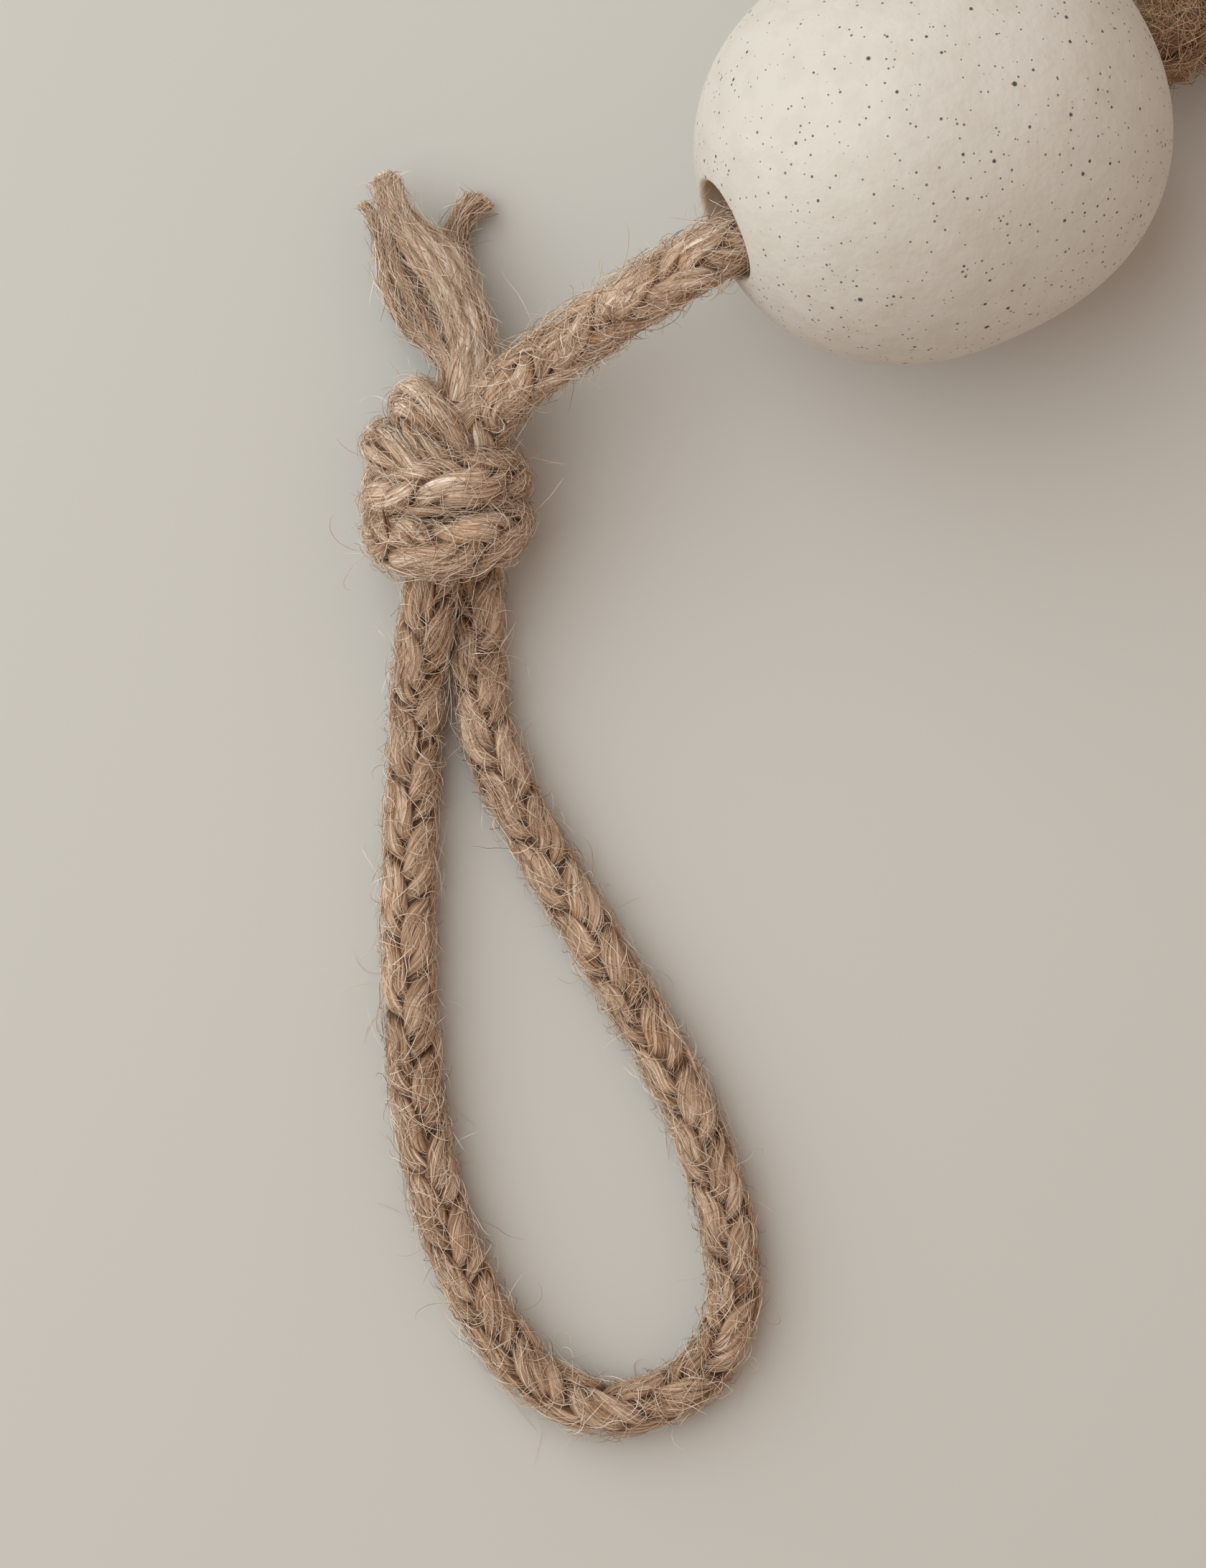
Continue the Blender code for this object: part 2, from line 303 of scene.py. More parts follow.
class Shape:
    """Closed tubes gathered into one mesh, with what the jute material needs at each point."""

    def __init__(self):
        self.points, self.faces, self.count = [], [], 0
        self.layers = {"fibre": [], "tone": [], "shade_depth": []}

    def add_tubes(self, rings, fibre, tone, shade_depth):
        """rings: points of shape (tubes, rings, sides, 3). The ends are closed."""
        tubes, n, sides = rings.shape[:3]
        index = np.arange(tubes * n * sides).reshape(tubes, n, sides) + self.count
        turned = np.roll(index, -1, axis=2)
        quads = np.stack([index[:, :-1], turned[:, :-1], turned[:, 1:], index[:, 1:]], axis=-1)
        self.faces += quads.reshape(-1, 4).tolist()
        self.faces += index[:, 0, ::-1].tolist()
        self.faces += index[:, -1].tolist()
        self.points.append(rings.reshape(-1, 3))
        self.layers["fibre"].append(fibre.reshape(-1, 3))
        self.layers["tone"].append(np.broadcast_to(tone, rings.shape[:3]).reshape(-1))
        self.layers["shade_depth"].append(np.broadcast_to(shade_depth, rings.shape[:3]).reshape(-1))
        self.count += tubes * n * sides

    def make(self, name, look):
        layers = {word: np.concatenate(values) for word, values in self.layers.items()}
        piece = add_mesh(name, np.concatenate(self.points), self.faces, look, layers)
        piece.data.set_sharp_from_angle(angle=SHARP_FROM)
        return piece


class Parted:
    """Takes tubes as a Shape does. Their rings up to the cut go to one shape and the rest to another."""

    def __init__(self, near, far, cut):
        self.near, self.far, self.cut = near, far, cut

    def add_tubes(self, rings, fibre, tone, shade_depth):
        cut = self.cut
        self.near.add_tubes(rings[:, : cut + 1], fibre[: cut + 1], tone[: cut + 1], shade_depth[: cut + 1])
        self.far.add_tubes(rings[:, cut:], fibre[cut:], tone[cut:], shade_depth[cut:])


def yarn(shape, course, s, x, y, half_wide, half_high, out, squash=None, fade=None, apart=False):
    """One spun yarn whose middle runs at x(s), y(s) beside the course. Its height points to the angle out.

    A yarn that is apart from the others gets painted shade down its sides and painted light on its top; any
    other gets painted shade towards the rope's middle.
    """
    turn = 2 * np.pi * np.arange(YARN_SIDES) / YARN_SIDES
    spin = 2 * np.pi * s / YARN_TWIST_PITCH + CHANCE.uniform(0, 2 * np.pi)
    angle = turn[None, :] + 0 * s[:, None]
    strand = angle - spin[:, None]
    ridge = sum(
        CHANCE.uniform(*RIDGE_SHARES) * np.cos(k * strand + CHANCE.uniform(0, 2 * np.pi))
        for k in RIDGE_COUNTS
    )
    swell = 1 + wander(s, SWELL, SWELL_REACH)[:, None] + RIDGE_HEIGHT * ridge
    wide = (half_wide + 0 * s)[:, None] * swell * np.cos(angle)
    high = (half_high + 0 * s)[:, None] * swell * np.sin(angle)
    across, over = np.sin(out)[:, None], np.cos(out)[:, None]
    px = x[:, None] + wide * across + high * over
    py = y[:, None] - wide * over + high * across
    # painted shade: a yarn is darker the nearer it runs to the rope's middle
    shade_depth = np.hypot(px, py)
    if apart:
        shade_depth = APART_SHADED_SIDE + APART_LIT_TOP * np.clip(APART_LIGHT_SPREAD * np.sin(angle), 0, 1)
    if squash is not None:
        px, py = squash(px, py, s[:, None] + 0 * px)
    rings = course.place(px, py, s[:, None] + 0 * px)
    radius = float(np.mean(half_wide))
    start = CHANCE.uniform(0, 1)
    fibre = np.stack(
        [radius * np.cos(strand), radius * np.sin(strand), s[:, None] + start + 0 * angle], axis=-1
    )
    tone = CHANCE.normal(0, TONE_SPREAD) + wander(s, TONE_SPREAD, TONE_REACH)[:, None]
    if fade is not None:
        tone = tone + fade(s)[:, None]
    rings[..., 2] = np.maximum(rings[..., 2], FLOOR_GAP)
    shape.add_tubes(rings[None], fibre, tone, np.clip((shade_depth - PAINTED_SHADE_DEPTH) / PAINTED_SHADE_SPAN, 0, 1))


def pushes(middles):
    """How far each yarn has to move, at each step, from the yarns that it is too close to."""
    yarns, steps = middles.shape[:2]
    rise = PITCH / steps
    deepest = np.zeros((yarns, yarns, steps))
    push = np.zeros((yarns, yarns, steps, 2))
    for shift in range(-4, 5):
        apart = middles[:, None] - np.roll(middles, -shift, axis=1)[None]
        distance = np.sqrt((apart**2).sum(axis=-1) + (shift * rise) ** 2) + 1e-9
        overlap = np.maximum(0, YARN_CLOSEST - distance) / distance
        overlap[np.arange(yarns), np.arange(yarns)] = 0
        deeper = overlap > deepest
        deepest = np.where(deeper, overlap, deepest)
        push = np.where(deeper[..., None], overlap[..., None] * apart, push)
    return push.sum(axis=1)


def tight_plait():
    """One pitch of the plait pulled tight: (yarns, steps, 2), where the yarns' middles run."""
    phase = 2 * np.pi * np.arange(PLAIT_STEPS) / PLAIT_STEPS
    yarns = []
    for hand in (1, -1):
        for half in (0, 1):
            for side in (-1, 1):
                angle = hand * (phase + half * np.pi) + side * PAIR_HALF_ANGLE
                r = LOOSE_RADIUS + LOOSE_WAVE * hand * np.cos(2 * angle)
                yarns.append(np.stack([r * np.cos(angle), r * np.sin(angle)], axis=1))
    middles = np.array(yarns)
    for turn in range(PULLING_ROUNDS):
        middles = PULL_KEEP * smoothed(middles)
        r = np.linalg.norm(middles, axis=-1, keepdims=True)
        held = np.minimum(r, OUTER_LIMIT + OUTER_GIVE * (r - OUTER_LIMIT))
        middles = middles * (held / r if turn > PULLING_ROUNDS * HOLDING_FROM else 1)
        middles = middles + PUSH_SHARE * pushes(middles)
    for _ in range(EASING_ROUNDS):
        middles = smoothed(middles)
    r = np.linalg.norm(middles, axis=-1, keepdims=True)
    return middles / r * OUTER_RADIUS * (r / r.max()) ** FLOAT_FULLNESS


def smoothed(middles):
    return middles / 2 + (np.roll(middles, 1, axis=1) + np.roll(middles, -1, axis=1)) / 4


TIGHT_PLAIT = tight_plait()


def plait(
    shape, fuzz, course, turned, size=1.0, pitch=PITCH, squash=None, hairy=0.0, until=None, fade=None
):
    """The rope's eight yarns along a course. turned(s) is the angle by which the plait is turned.

    hairy is the number of loose fibres on each millimetre of each yarn, as far as until. fade(s) shifts
    the tone.
    """
    count = round(hairy * (until or course.length) * 1000)
    s = np.arange(0, course.length, RING_SPACING * size)
    grid = np.arange(PLAIT_STEPS) / PLAIT_STEPS
    turn = turned(s) - STRAIGHTENING * np.sin(4 * np.pi * s / pitch)
    for middles in TIGHT_PLAIT:
        px, py = (size * np.interp(s / pitch, grid, middles[:, k], period=1) for k in range(2))
        grow = 1 + wander(s, UNEVEN, UNEVEN_REACH)
        x = grow * (px * np.cos(turn) - py * np.sin(turn))
        y = grow * (px * np.sin(turn) + py * np.cos(turn))
        out = np.unwrap(np.arctan2(y, x))
        lean = np.hypot(np.gradient(x, s), np.gradient(y, s))
        outside = np.hypot(px, py) / (size * OUTER_RADIUS)
        slant = np.minimum(np.hypot(1, lean), WIDEST_SLANT)
        wide = size * YARN_HALF_WIDTH * slant * (WIDTH_INSIDE + WIDTH_GAINED * outside**2)
        high = size * YARN_HALF_HEIGHT + 0 * s
        yarn(shape, course, s, x, y, wide, high, out, skin(size, squash), fade)
        yarn_hairs(fuzz, course, count, s, x, y, high, out, skin(size, squash), until=until)
    yarn(shape, course, s, 0 * s, 0 * s, size * CORE_RADIUS, size * CORE_RADIUS, turn, squash, fade)


def even(value):
    """The same value all along a rope."""
    return lambda s: value + 0 * s


def skin(size, squash):
    """Presses what stands out of the rope flat, before any other squash."""
    limit = size * SKIN_RADIUS

    def press(x, y, s):
        r = np.hypot(x, y)
        keep = np.where(r > limit, (limit + SKIN_GIVE * (r - limit)) / np.maximum(r, limit), 1)
        x, y = x * keep, y * keep
        return squash(x, y, s) if squash else (x, y)

    return press


# ---------------- hairs


HAIR_POINTS = 6
HAIR_TIP = 0.3  # a hair's thickness at its ends, as a share of the most
HAIR_LENGTHS = (0.002, 0.007)
HAIR_THICKNESS = (0.000034, 0.000062)  # half of what the hair measures across
HAIR_SUNK = 0.00015
HAIR_ARCH = 0.0005
HAIR_STANDING = (0.0003, 0.0017)
HAIR_HEADING = 0.8  # radians away from the rope's own direction, and how much it curls on from there
HAIR_CURL = 1.3
HAIR_MARGIN = 0.0004
YARN_HAIR_LENGTHS = (0.0015, 0.0060)
YARN_HAIR_THICKNESS = (0.000030, 0.000056)
YARN_HAIR_ARCH = (-0.00002, 0.00034)
YARN_HAIR_STANDING = (0.0003, 0.0022)
YARN_HAIR_RAISED = 0.00004
YARN_HAIR_SPREAD = 0.85  # radians round the yarn, and how much further it drifts
YARN_HAIR_DRIFT = 0.8
YARN_HAIR_MARGIN = 0.0003
WISP_POINTS = 14
WISP_LENGTHS = (0.004, 0.011)
WISP_THICKNESS = (0.000030, 0.000050)
WISP_RISE = 0.55
WISP_SCATTER = 0.3
WISP_BEND = 0.22
WISP_KINK = 0.09
CUT_FIBRES = 40
CUT_DEPTH = 0.0006  # how far inside a cut yarn its end's fibres start
CUT_THICKNESS = (0.00005, 0.00009)
CUT_LENGTHS = (0.0001, 0.0005)
CUT_SPREAD = 0.35


def hairs(fuzz, course, count, radius, fly, ends=0.006, until=None, squash=None):
    """Loose fibres across a rope: most lie over its surface, and the share fly stands off it."""
    t = np.linspace(0, 1, HAIR_POINTS)
    until = course.length - ends if until is None else until
    step = CHANCE.uniform(*HAIR_LENGTHS, (count, 1)) / (HAIR_POINTS - 1)
    flying = CHANCE.random((count, 1)) < fly
    heading = CHANCE.normal(0, HAIR_HEADING, (count, 1)) + CHANCE.normal(0, HAIR_CURL, (count, 1)) * t
    way = CHANCE.choice((-1, 1), (count, 1))
    s = CHANCE.uniform(ends, until, (count, 1)) + way * np.cumsum(np.cos(heading) * step, axis=1)
    around = CHANCE.uniform(0, 2 * np.pi, (count, 1)) + np.cumsum(np.sin(heading) * step, axis=1) / radius
    off = CHANCE.uniform(0, HAIR_ARCH, (count, 1)) * np.sin(np.pi * t)
    standing = CHANCE.uniform(*HAIR_STANDING, (count, 1)) * t ** CHANCE.uniform(0.6, 1.7, (count, 1))
    r = radius - HAIR_SUNK + off + np.where(flying, standing, 0)
    x, y = r * np.cos(around), r * np.sin(around)
    if squash is not None:
        x, y = squash(x, y, s)
    s = np.clip(s, 0, course.length - HAIR_MARGIN) if ends else s
    add_hairs(fuzz, course.place(x, y, s), HAIR_THICKNESS)


def yarn_hairs(
    fuzz, course, count, s, x, y, radius, out, squash=None, ends=0.0, until=None, fly=0.0, stray=0.0
):
    """Loose fibres along one yarn, on the side that faces out. The share fly stands off it.

    stray is how far they drift across its neighbours.
    """
    if not count:
        return
    t = np.linspace(0, 1, HAIR_POINTS)
    until = s[-1] if until is None else until
    length = CHANCE.uniform(*YARN_HAIR_LENGTHS, (count, 1)) * CHANCE.choice((-1, 1), (count, 1))
    at = CHANCE.uniform(s[0] + ends, until, (count, 1)) + length * t
    at = np.clip(at, s[0], s[-1] - YARN_HAIR_MARGIN)
    a = np.interp(at, s, out) + CHANCE.normal(0, YARN_HAIR_SPREAD, (count, 1))
    a = a + CHANCE.normal(0, YARN_HAIR_DRIFT, (count, 1)) * t
    arch = CHANCE.uniform(*YARN_HAIR_ARCH, (count, 1))
    bow = arch * np.sin(np.pi * t * CHANCE.uniform(0.5, 1, (count, 1)))
    flying = CHANCE.random((count, 1)) < fly
    standing = CHANCE.uniform(*YARN_HAIR_STANDING, (count, 1)) * t ** CHANCE.uniform(0.7, 2.0, (count, 1))
    r = np.interp(at, s, radius) + YARN_HAIR_RAISED + np.where(flying, standing, bow)
    px = np.interp(at, s, x) + r * np.cos(a) + CHANCE.normal(0, 1, (count, 1)) * stray * t
    py = np.interp(at, s, y) + r * np.sin(a)
    if squash is not None:
        px, py = squash(px, py, at)
    add_hairs(fuzz, course.place(px, py, at), YARN_HAIR_THICKNESS)


def wisps(fuzz, course, count, radius, start=0.0, until=None, lengths=WISP_LENGTHS):
    """Longer curled fibres that have come away from the rope."""
    until = course.length if until is None else until
    s = CHANCE.uniform(start, until, count)
    a = CHANCE.uniform(0, 2 * np.pi, count)
    root = course.place(radius * np.cos(a), radius * np.sin(a), s)
    outward = unit(root - course.at(course.points, s))
    along = course.at(course.ahead, s) * CHANCE.choice((-1, 1), (count, 1))
    heading = unit(WISP_RISE * outward + along + CHANCE.normal(0, WISP_SCATTER, (count, 3)))
    axis = unit(CHANCE.normal(0, 1, (count, 3)))
    step = CHANCE.uniform(*lengths, (count, 1)) / WISP_POINTS
    curl = CHANCE.normal(0, WISP_BEND, (count, 1))
    paths = [root]
    for _ in range(WISP_POINTS - 1):
        kink = CHANCE.normal(0, WISP_KINK, (count, 3))
        heading = unit(heading + np.cross(axis, heading) * curl + kink)
        paths.append(paths[-1] + heading * step)
    add_hairs(fuzz, np.stack(paths, axis=1), WISP_THICKNESS)


def cut_fibres(fuzz, course, s, x, y, radius):
    """The short ends that stand out of a cut yarn."""
    t = np.linspace(0, 1, HAIR_POINTS)
    a = CHANCE.uniform(0, 2 * np.pi, (CUT_FIBRES, 1))
    length = CHANCE.uniform(*CUT_LENGTHS, (CUT_FIBRES, 1))
    within = radius * np.sqrt(CHANCE.random((CUT_FIBRES, 1)))
    r = within + CHANCE.uniform(0, CUT_SPREAD, (CUT_FIBRES, 1)) * length * t
    at = s - CUT_DEPTH + (length + CUT_DEPTH) * t
    add_hairs(fuzz, course.place(x + r * np.cos(a), y + r * np.sin(a), at), CUT_THICKNESS)


def sliver(fuzz, start, end, half_width, tone):
    """A fleck of bark or straw caught in the rope."""
    t = np.linspace(0, 1, HAIR_POINTS)[:, None]
    path = np.array(start) * (1 - t) + np.array(end) * t
    add_hairs(fuzz, path[None], (half_width, half_width), tone)


def add_hairs(fuzz, paths, thickness, tone=None):
    """Thin three-sided tubes that taper to both ends, one for each path."""
    paths[..., 2] = np.maximum(paths[..., 2], 2 * FLOOR_GAP)
    count = len(paths)
    ahead = unit(np.gradient(paths, axis=1))
    side = unit(np.cross(ahead, unit(CHANCE.normal(0, 1, (count, 1, 3)))))
    other = np.cross(side, ahead)
    t = np.linspace(0, 1, paths.shape[1])
    taper = HAIR_TIP + (1 - HAIR_TIP) * np.sin(np.pi * np.clip(t, 0.03, 0.97))
    wide = (CHANCE.uniform(*thickness, (count, 1)) * taper)[..., None]
    turns = (0, 2 * math.pi / 3, 4 * math.pi / 3)
    rings = np.stack([paths + wide * (side * math.cos(a) + other * math.sin(a)) for a in turns], axis=2)
    tone = CHANCE.normal(0, 1, (count, 1, 1)) if tone is None else tone
    fuzz.add_tubes(rings, np.zeros(rings.shape), tone, 1.0)


# ---------------- materials


def new_look(name, roughness, specular, sheen=0.0):
    look = bpy.data.materials.new(name)
    look.use_nodes = True
    shader = look.node_tree.nodes["Principled BSDF"]
    shader.inputs["Roughness"].default_value = roughness
    shader.inputs["Specular IOR Level"].default_value = specular
    shader.inputs["Sheen Weight"].default_value = sheen
    shader.inputs["Sheen Roughness"].default_value = 0.5
    return look, look.node_tree, shader


def put(tree, kind, **values):
    node = tree.nodes.new(kind)
    for word, value in values.items():
        node.inputs[word].default_value = value
    return node


def colours(tree, factor, stops):
    """A colour ramp from (position, linear colour) stops."""
    ramp = tree.nodes.new("ShaderNodeValToRGB")
    while len(ramp.color_ramp.elements) < len(stops):
        ramp.color_ramp.elements.new(0.5)
    for element, (position, colour) in zip(ramp.color_ramp.elements, stops):
        element.position = position
        element.color = (*colour, 1)
    tree.links.new(factor, ramp.inputs["Fac"])
    return ramp.outputs["Color"]


def plug(tree, socket, value):
    """Gives a socket a number, a colour or another node's output."""
    if isinstance(value, (int, float)):
        socket.default_value = value
    elif isinstance(value, tuple):
        socket.default_value = (*value, 1)
    else:
        tree.links.new(value, socket)


def arithmetic(tree, operation, *values, clamp=False):
    node = tree.nodes.new("ShaderNodeMath")
    node.operation = operation
    node.use_clamp = clamp
    for socket, value in zip(node.inputs, values):
        plug(tree, socket, value)
    return node.outputs[0]


def mixed(tree, factor, a, b, blend="MIX"):
    node = tree.nodes.new("ShaderNodeMix")
    node.data_type = "RGBA"
    node.blend_type = blend
    for socket, value in zip((node.inputs["Factor"], node.inputs[6], node.inputs[7]), (factor, a, b)):
        plug(tree, socket, value)
    return node.outputs[2]


def attribute(tree, word, output):
    node = tree.nodes.new("ShaderNodeAttribute")
    node.attribute_name = word
    return node.outputs[output]


def noise(tree, vector, scale, detail, stretch=(1, 1, 1)):
    moved = tree.nodes.new("ShaderNodeVectorMath")
    moved.operation = "MULTIPLY"
    moved.inputs[1].default_value = stretch
    tree.links.new(vector, moved.inputs[0])
    node = put(tree, "ShaderNodeTexNoise", Scale=scale, Detail=detail)
    tree.links.new(moved.outputs[0], node.inputs["Vector"])
    return node.outputs["Fac"]


ROPE_TINT = (1.0, 0.965, 0.975)
STOPPER_PAINTED_SHADE = (0.56, 0.46, 0.375)  # painted shade: the stopper knot, in the bead's shadow, is a darker, browner copy of the rope
# painted shade on the stopper knot's hairs
STOPPER_HAIR_PAINTED_SHADE = (0.80, 0.68, 0.56)
JUTE_SHADES = [
    (0.335, (0.150, 0.083, 0.049)),
    (0.447, (0.390, 0.246, 0.157)),
    (0.548, (0.625, 0.453, 0.326)),
    (0.665, (0.950, 0.845, 0.735)),
]
# Painted shade between the yarns, multiplied in: darkest deep in the rope, none at its surface.
PAINTED_HOLLOW_SHADES = [
    (0.0, (0.13, 0.09, 0.075)),
    (0.52, (0.40, 0.31, 0.26)),
    (0.68, (0.78, 0.70, 0.65)),
    (0.83, (1, 1, 1)),
]
HAIR_SHADES = [
    (0.05, (0.150, 0.070, 0.038)),
    (0.28, (0.400, 0.250, 0.155)),
    (0.60, (0.680, 0.535, 0.405)),
    (0.95, (0.890, 0.785, 0.675)),
]


def shaded(colour, light):
    return tuple(c * k for c, k in zip(colour, light))


def jute_look(name, light):
    """Spun jute: fine fibre streaks along the yarn, slow changes of tone, and painted shade between the
    yarns.
    """
    look, tree, shader = new_look(name, 0.9, 0.15, 0.15)
    fibre = attribute(tree, "fibre", "Vector")
    fine = noise(tree, fibre, 5200, 2.0, (1, 1, 0.035))
    coarse = noise(tree, fibre, 2200, 2.0, (1, 1, 0.04))
    patch = noise(tree, fibre, 160, 1.0)
    tone = attribute(tree, "tone", "Fac")
    fine_part = arithmetic(tree, "MULTIPLY", fine, 0.42)
    streak = arithmetic(tree, "ADD", fine_part, arithmetic(tree, "MULTIPLY", coarse, 0.58))
    shade = arithmetic(tree, "ADD", streak, arithmetic(tree, "MULTIPLY", tone, 0.055))
    body = colours(tree, shade, [(position, shaded(colour, light)) for position, colour in JUTE_SHADES])
    warm = colours(tree, patch, [(0.56, (1, 1, 1)), (0.78, (1.0, 0.86, 0.72))])
    tinted = mixed(tree, 1.0, body, warm, "MULTIPLY")
    # painted shade deep between the yarns
    painted_hollow_shade = colours(tree, attribute(tree, "shade_depth", "Fac"), PAINTED_HOLLOW_SHADES)
    tree.links.new(mixed(tree, 1.0, tinted, painted_hollow_shade, "MULTIPLY"), shader.inputs["Base Color"])
    bump = put(tree, "ShaderNodeBump", Strength=0.9, Distance=0.00022)
    tree.links.new(streak, bump.inputs["Height"])
    tree.links.new(bump.outputs["Normal"], shader.inputs["Normal"])
    return look


def hair_look(name, light):
    """Single fibres: each has a tone of its own."""
    look, tree, shader = new_look(name, 0.75, 0.25)
    shade = arithmetic(tree, "MULTIPLY_ADD", attribute(tree, "tone", "Fac"), 0.22, 0.54)
    pale = colours(tree, shade, [(position, shaded(colour, light)) for position, colour in HAIR_SHADES])
    tree.links.new(pale, shader.inputs["Base Color"])
    return look


def speckles(tree, place, thick, colour, scale, size, rarity, dark):
    """Iron speckles of one size: balls scattered through the clay, seen where the surface cuts them."""
    cells = put(tree, "ShaderNodeTexVoronoi", Scale=scale)
    tree.links.new(place, cells.inputs["Vector"])
    pick = tree.nodes.new("ShaderNodeSeparateColor")
    tree.links.new(cells.outputs["Color"], pick.inputs["Color"])
    limit = arithmetic(tree, "SUBTRACT", rarity + 0.70, arithmetic(tree, "MULTIPLY", thick, 1.4))
    chosen = arithmetic(tree, "GREATER_THAN", pick.outputs["Red"], limit)
    reach = arithmetic(tree, "MULTIPLY_ADD", pick.outputs["Green"], size * 0.6, size * 0.4)
    edge = arithmetic(tree, "SUBTRACT", reach, cells.outputs["Distance"])
    dot = arithmetic(tree, "MULTIPLY", edge, 22, clamp=True)
    return mixed(tree, arithmetic(tree, "MULTIPLY", dot, chosen), colour, dark)


def stoneware_look():
    """Bare off-white stoneware with iron speckles of three sizes, thicker in some places than in others."""
    look, tree, shader = new_look("speckled_stoneware", 0.75, 0.3)
    place = attribute(tree, "place", "Vector")
    cloud = noise(tree, place, 34, 4.0)
    smudge = noise(tree, place, 240, 3.0)
    body = colours(tree, cloud, [(0.32, (0.630, 0.572, 0.520)), (0.68, (0.685, 0.632, 0.585))])
    tint = colours(tree, smudge, [(0.35, (0.95, 0.93, 0.91)), (0.55, (1, 1, 1))])
    colour = mixed(tree, 0.8, body, tint, "MULTIPLY")
    thick = noise(tree, place, 55, 2.0)
    for scale, size, rarity, dark in (
        (300, 0.135, 0.40, (0.075, 0.068, 0.070)),
        (520, 0.165, 0.14, (0.120, 0.100, 0.090)),
        (900, 0.210, 0.06, (0.215, 0.175, 0.155)),
    ):
        colour = speckles(tree, place, thick, colour, scale, size, rarity, dark)
    # partly painted shade in the bore and partly the bore wall's own grey-brown clay: darker and browner
    # where the surface turns into the bore
    inside = colours(tree, attribute(tree, "shade_depth", "Fac"), [(0.0, (0.84, 0.68, 0.56)), (1.0, (1, 1, 1))])
    tree.links.new(mixed(tree, 1.0, colour, inside, "MULTIPLY"), shader.inputs["Base Color"])
    grain = noise(tree, place, 900, 4.0)
    pits = noise(tree, place, 260, 2.0)
    height = arithmetic(tree, "ADD", grain, arithmetic(tree, "MULTIPLY", pits, 1.5))
    bump = put(tree, "ShaderNodeBump", Strength=0.35, Distance=0.0003)
    tree.links.new(height, bump.inputs["Height"])
    tree.links.new(bump.outputs["Normal"], shader.inputs["Normal"])
    return look


# ---------------- camera, light and floor

WINDOW_PLACE = (-0.62, 0.20, 0.72)
WINDOW_TARGET = (-0.03, -0.06, 0)
WINDOW_SIZE = 1.5
WINDOW_POWER = 11.33
WINDOW_COLOUR = (0.845, 0.983, 1.0)
ROOM_COLOUR = (1.0, 0.825, 0.680, 1)
ROOM_STRENGTH = 0.50
FLOOR_HALF = 4.0
FLOOR_COLOUR = (0.574, 0.540, 0.512, 1)


def set_camera():
    data = bpy.data.cameras.new("camera")
    data.sensor_fit = "VERTICAL"
    data.sensor_height = SENSOR_MM
    data.lens = SENSOR_MM * CAMERA_HEIGHT / VIEW_TALL
    data.clip_start = 0.01
    camera = add_object("camera", data)
    camera.location = (*VIEW_CENTRE, CAMERA_HEIGHT)
    bpy.context.scene.camera = camera


def add_lamp(name, place, target, size, power, colour):
    data = bpy.data.lights.new(name, "AREA")
    data.shape = "DISK"
    data.size = size
    data.energy = power
    data.color = colour
    lamp = add_object(name, data)
    lamp.location = place
    away = np.array(place) - np.array(target)
    lamp.rotation_euler = (
        math.atan2(math.hypot(away[0], away[1]), away[2]),
        0,
        math.atan2(away[0], -away[1]),
    )


def set_light():
    """One large soft lamp from the upper left, and a warm, even fill."""
    add_lamp("window", WINDOW_PLACE, WINDOW_TARGET, WINDOW_SIZE, WINDOW_POWER, WINDOW_COLOUR)
    world = bpy.data.worlds.new("world")
    world.use_nodes = True
    background = world.node_tree.nodes["Background"]
    background.inputs["Color"].default_value = ROOM_COLOUR
    background.inputs["Strength"].default_value = ROOM_STRENGTH
    bpy.context.scene.world = world
    bpy.context.scene.view_settings.view_transform = "Standard"


def make_floor():
    corners = [(x * FLOOR_HALF, y * FLOOR_HALF, 0) for x, y in ((-1, -1), (1, -1), (1, 1), (-1, 1))]
    mesh = bpy.data.meshes.new("floor")
    mesh.from_pydata(corners, [], [(0, 1, 2, 3)])
    look, _, shader = new_look("pale_floor", 0.9, 0.1)
    shader.inputs["Base Color"].default_value = FLOOR_COLOUR
    mesh.materials.append(look)
    add_object("floor", mesh)


# ---------------- the bead


def bead_axes():
    """The bead's middle and the directions along, beside and above its bore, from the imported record."""
    spin = next(joint for joint in frame["joints"] if joint["name"] == "bead_spin")
    along = unit(np.array(spin["axis"], float))
    beside = unit(np.cross((0, 0, 1), along))
    return np.array(spin["pos_m"], float), along, beside, np.cross(along, beside)


BEAD_CENTRE, BORE_ALONG, BORE_BESIDE, BORE_ABOVE = bead_axes()


def in_bead(along, sideways, upwards):
    return BEAD_CENTRE + BORE_ALONG * along + BORE_BESIDE * sideways + BORE_ABOVE * upwards


BEAD_LENGTH = 0.0652
BEAD_DIAMETER = 0.058
BEAD_FULLNESS = 2.25
BORE_RADIUS = 0.0070
LIP_RADIUS = 0.0008
BEAD_SEGMENTS = 300
OUTLINE_STEPS = 170
LIP_STEPS = 8
BORE_STEPS = 30
# The thrown surface's lumps: how many go round, radians for each metre along, where they start, how high.
BEAD_WAVES = [
    (2, 60, 0.7, 0.00022),
    (3, -95, 2.1, 0.00012),
    (7, 210, 0, 0.00004),
]
EVEN_NEAR_BORE = 0.006


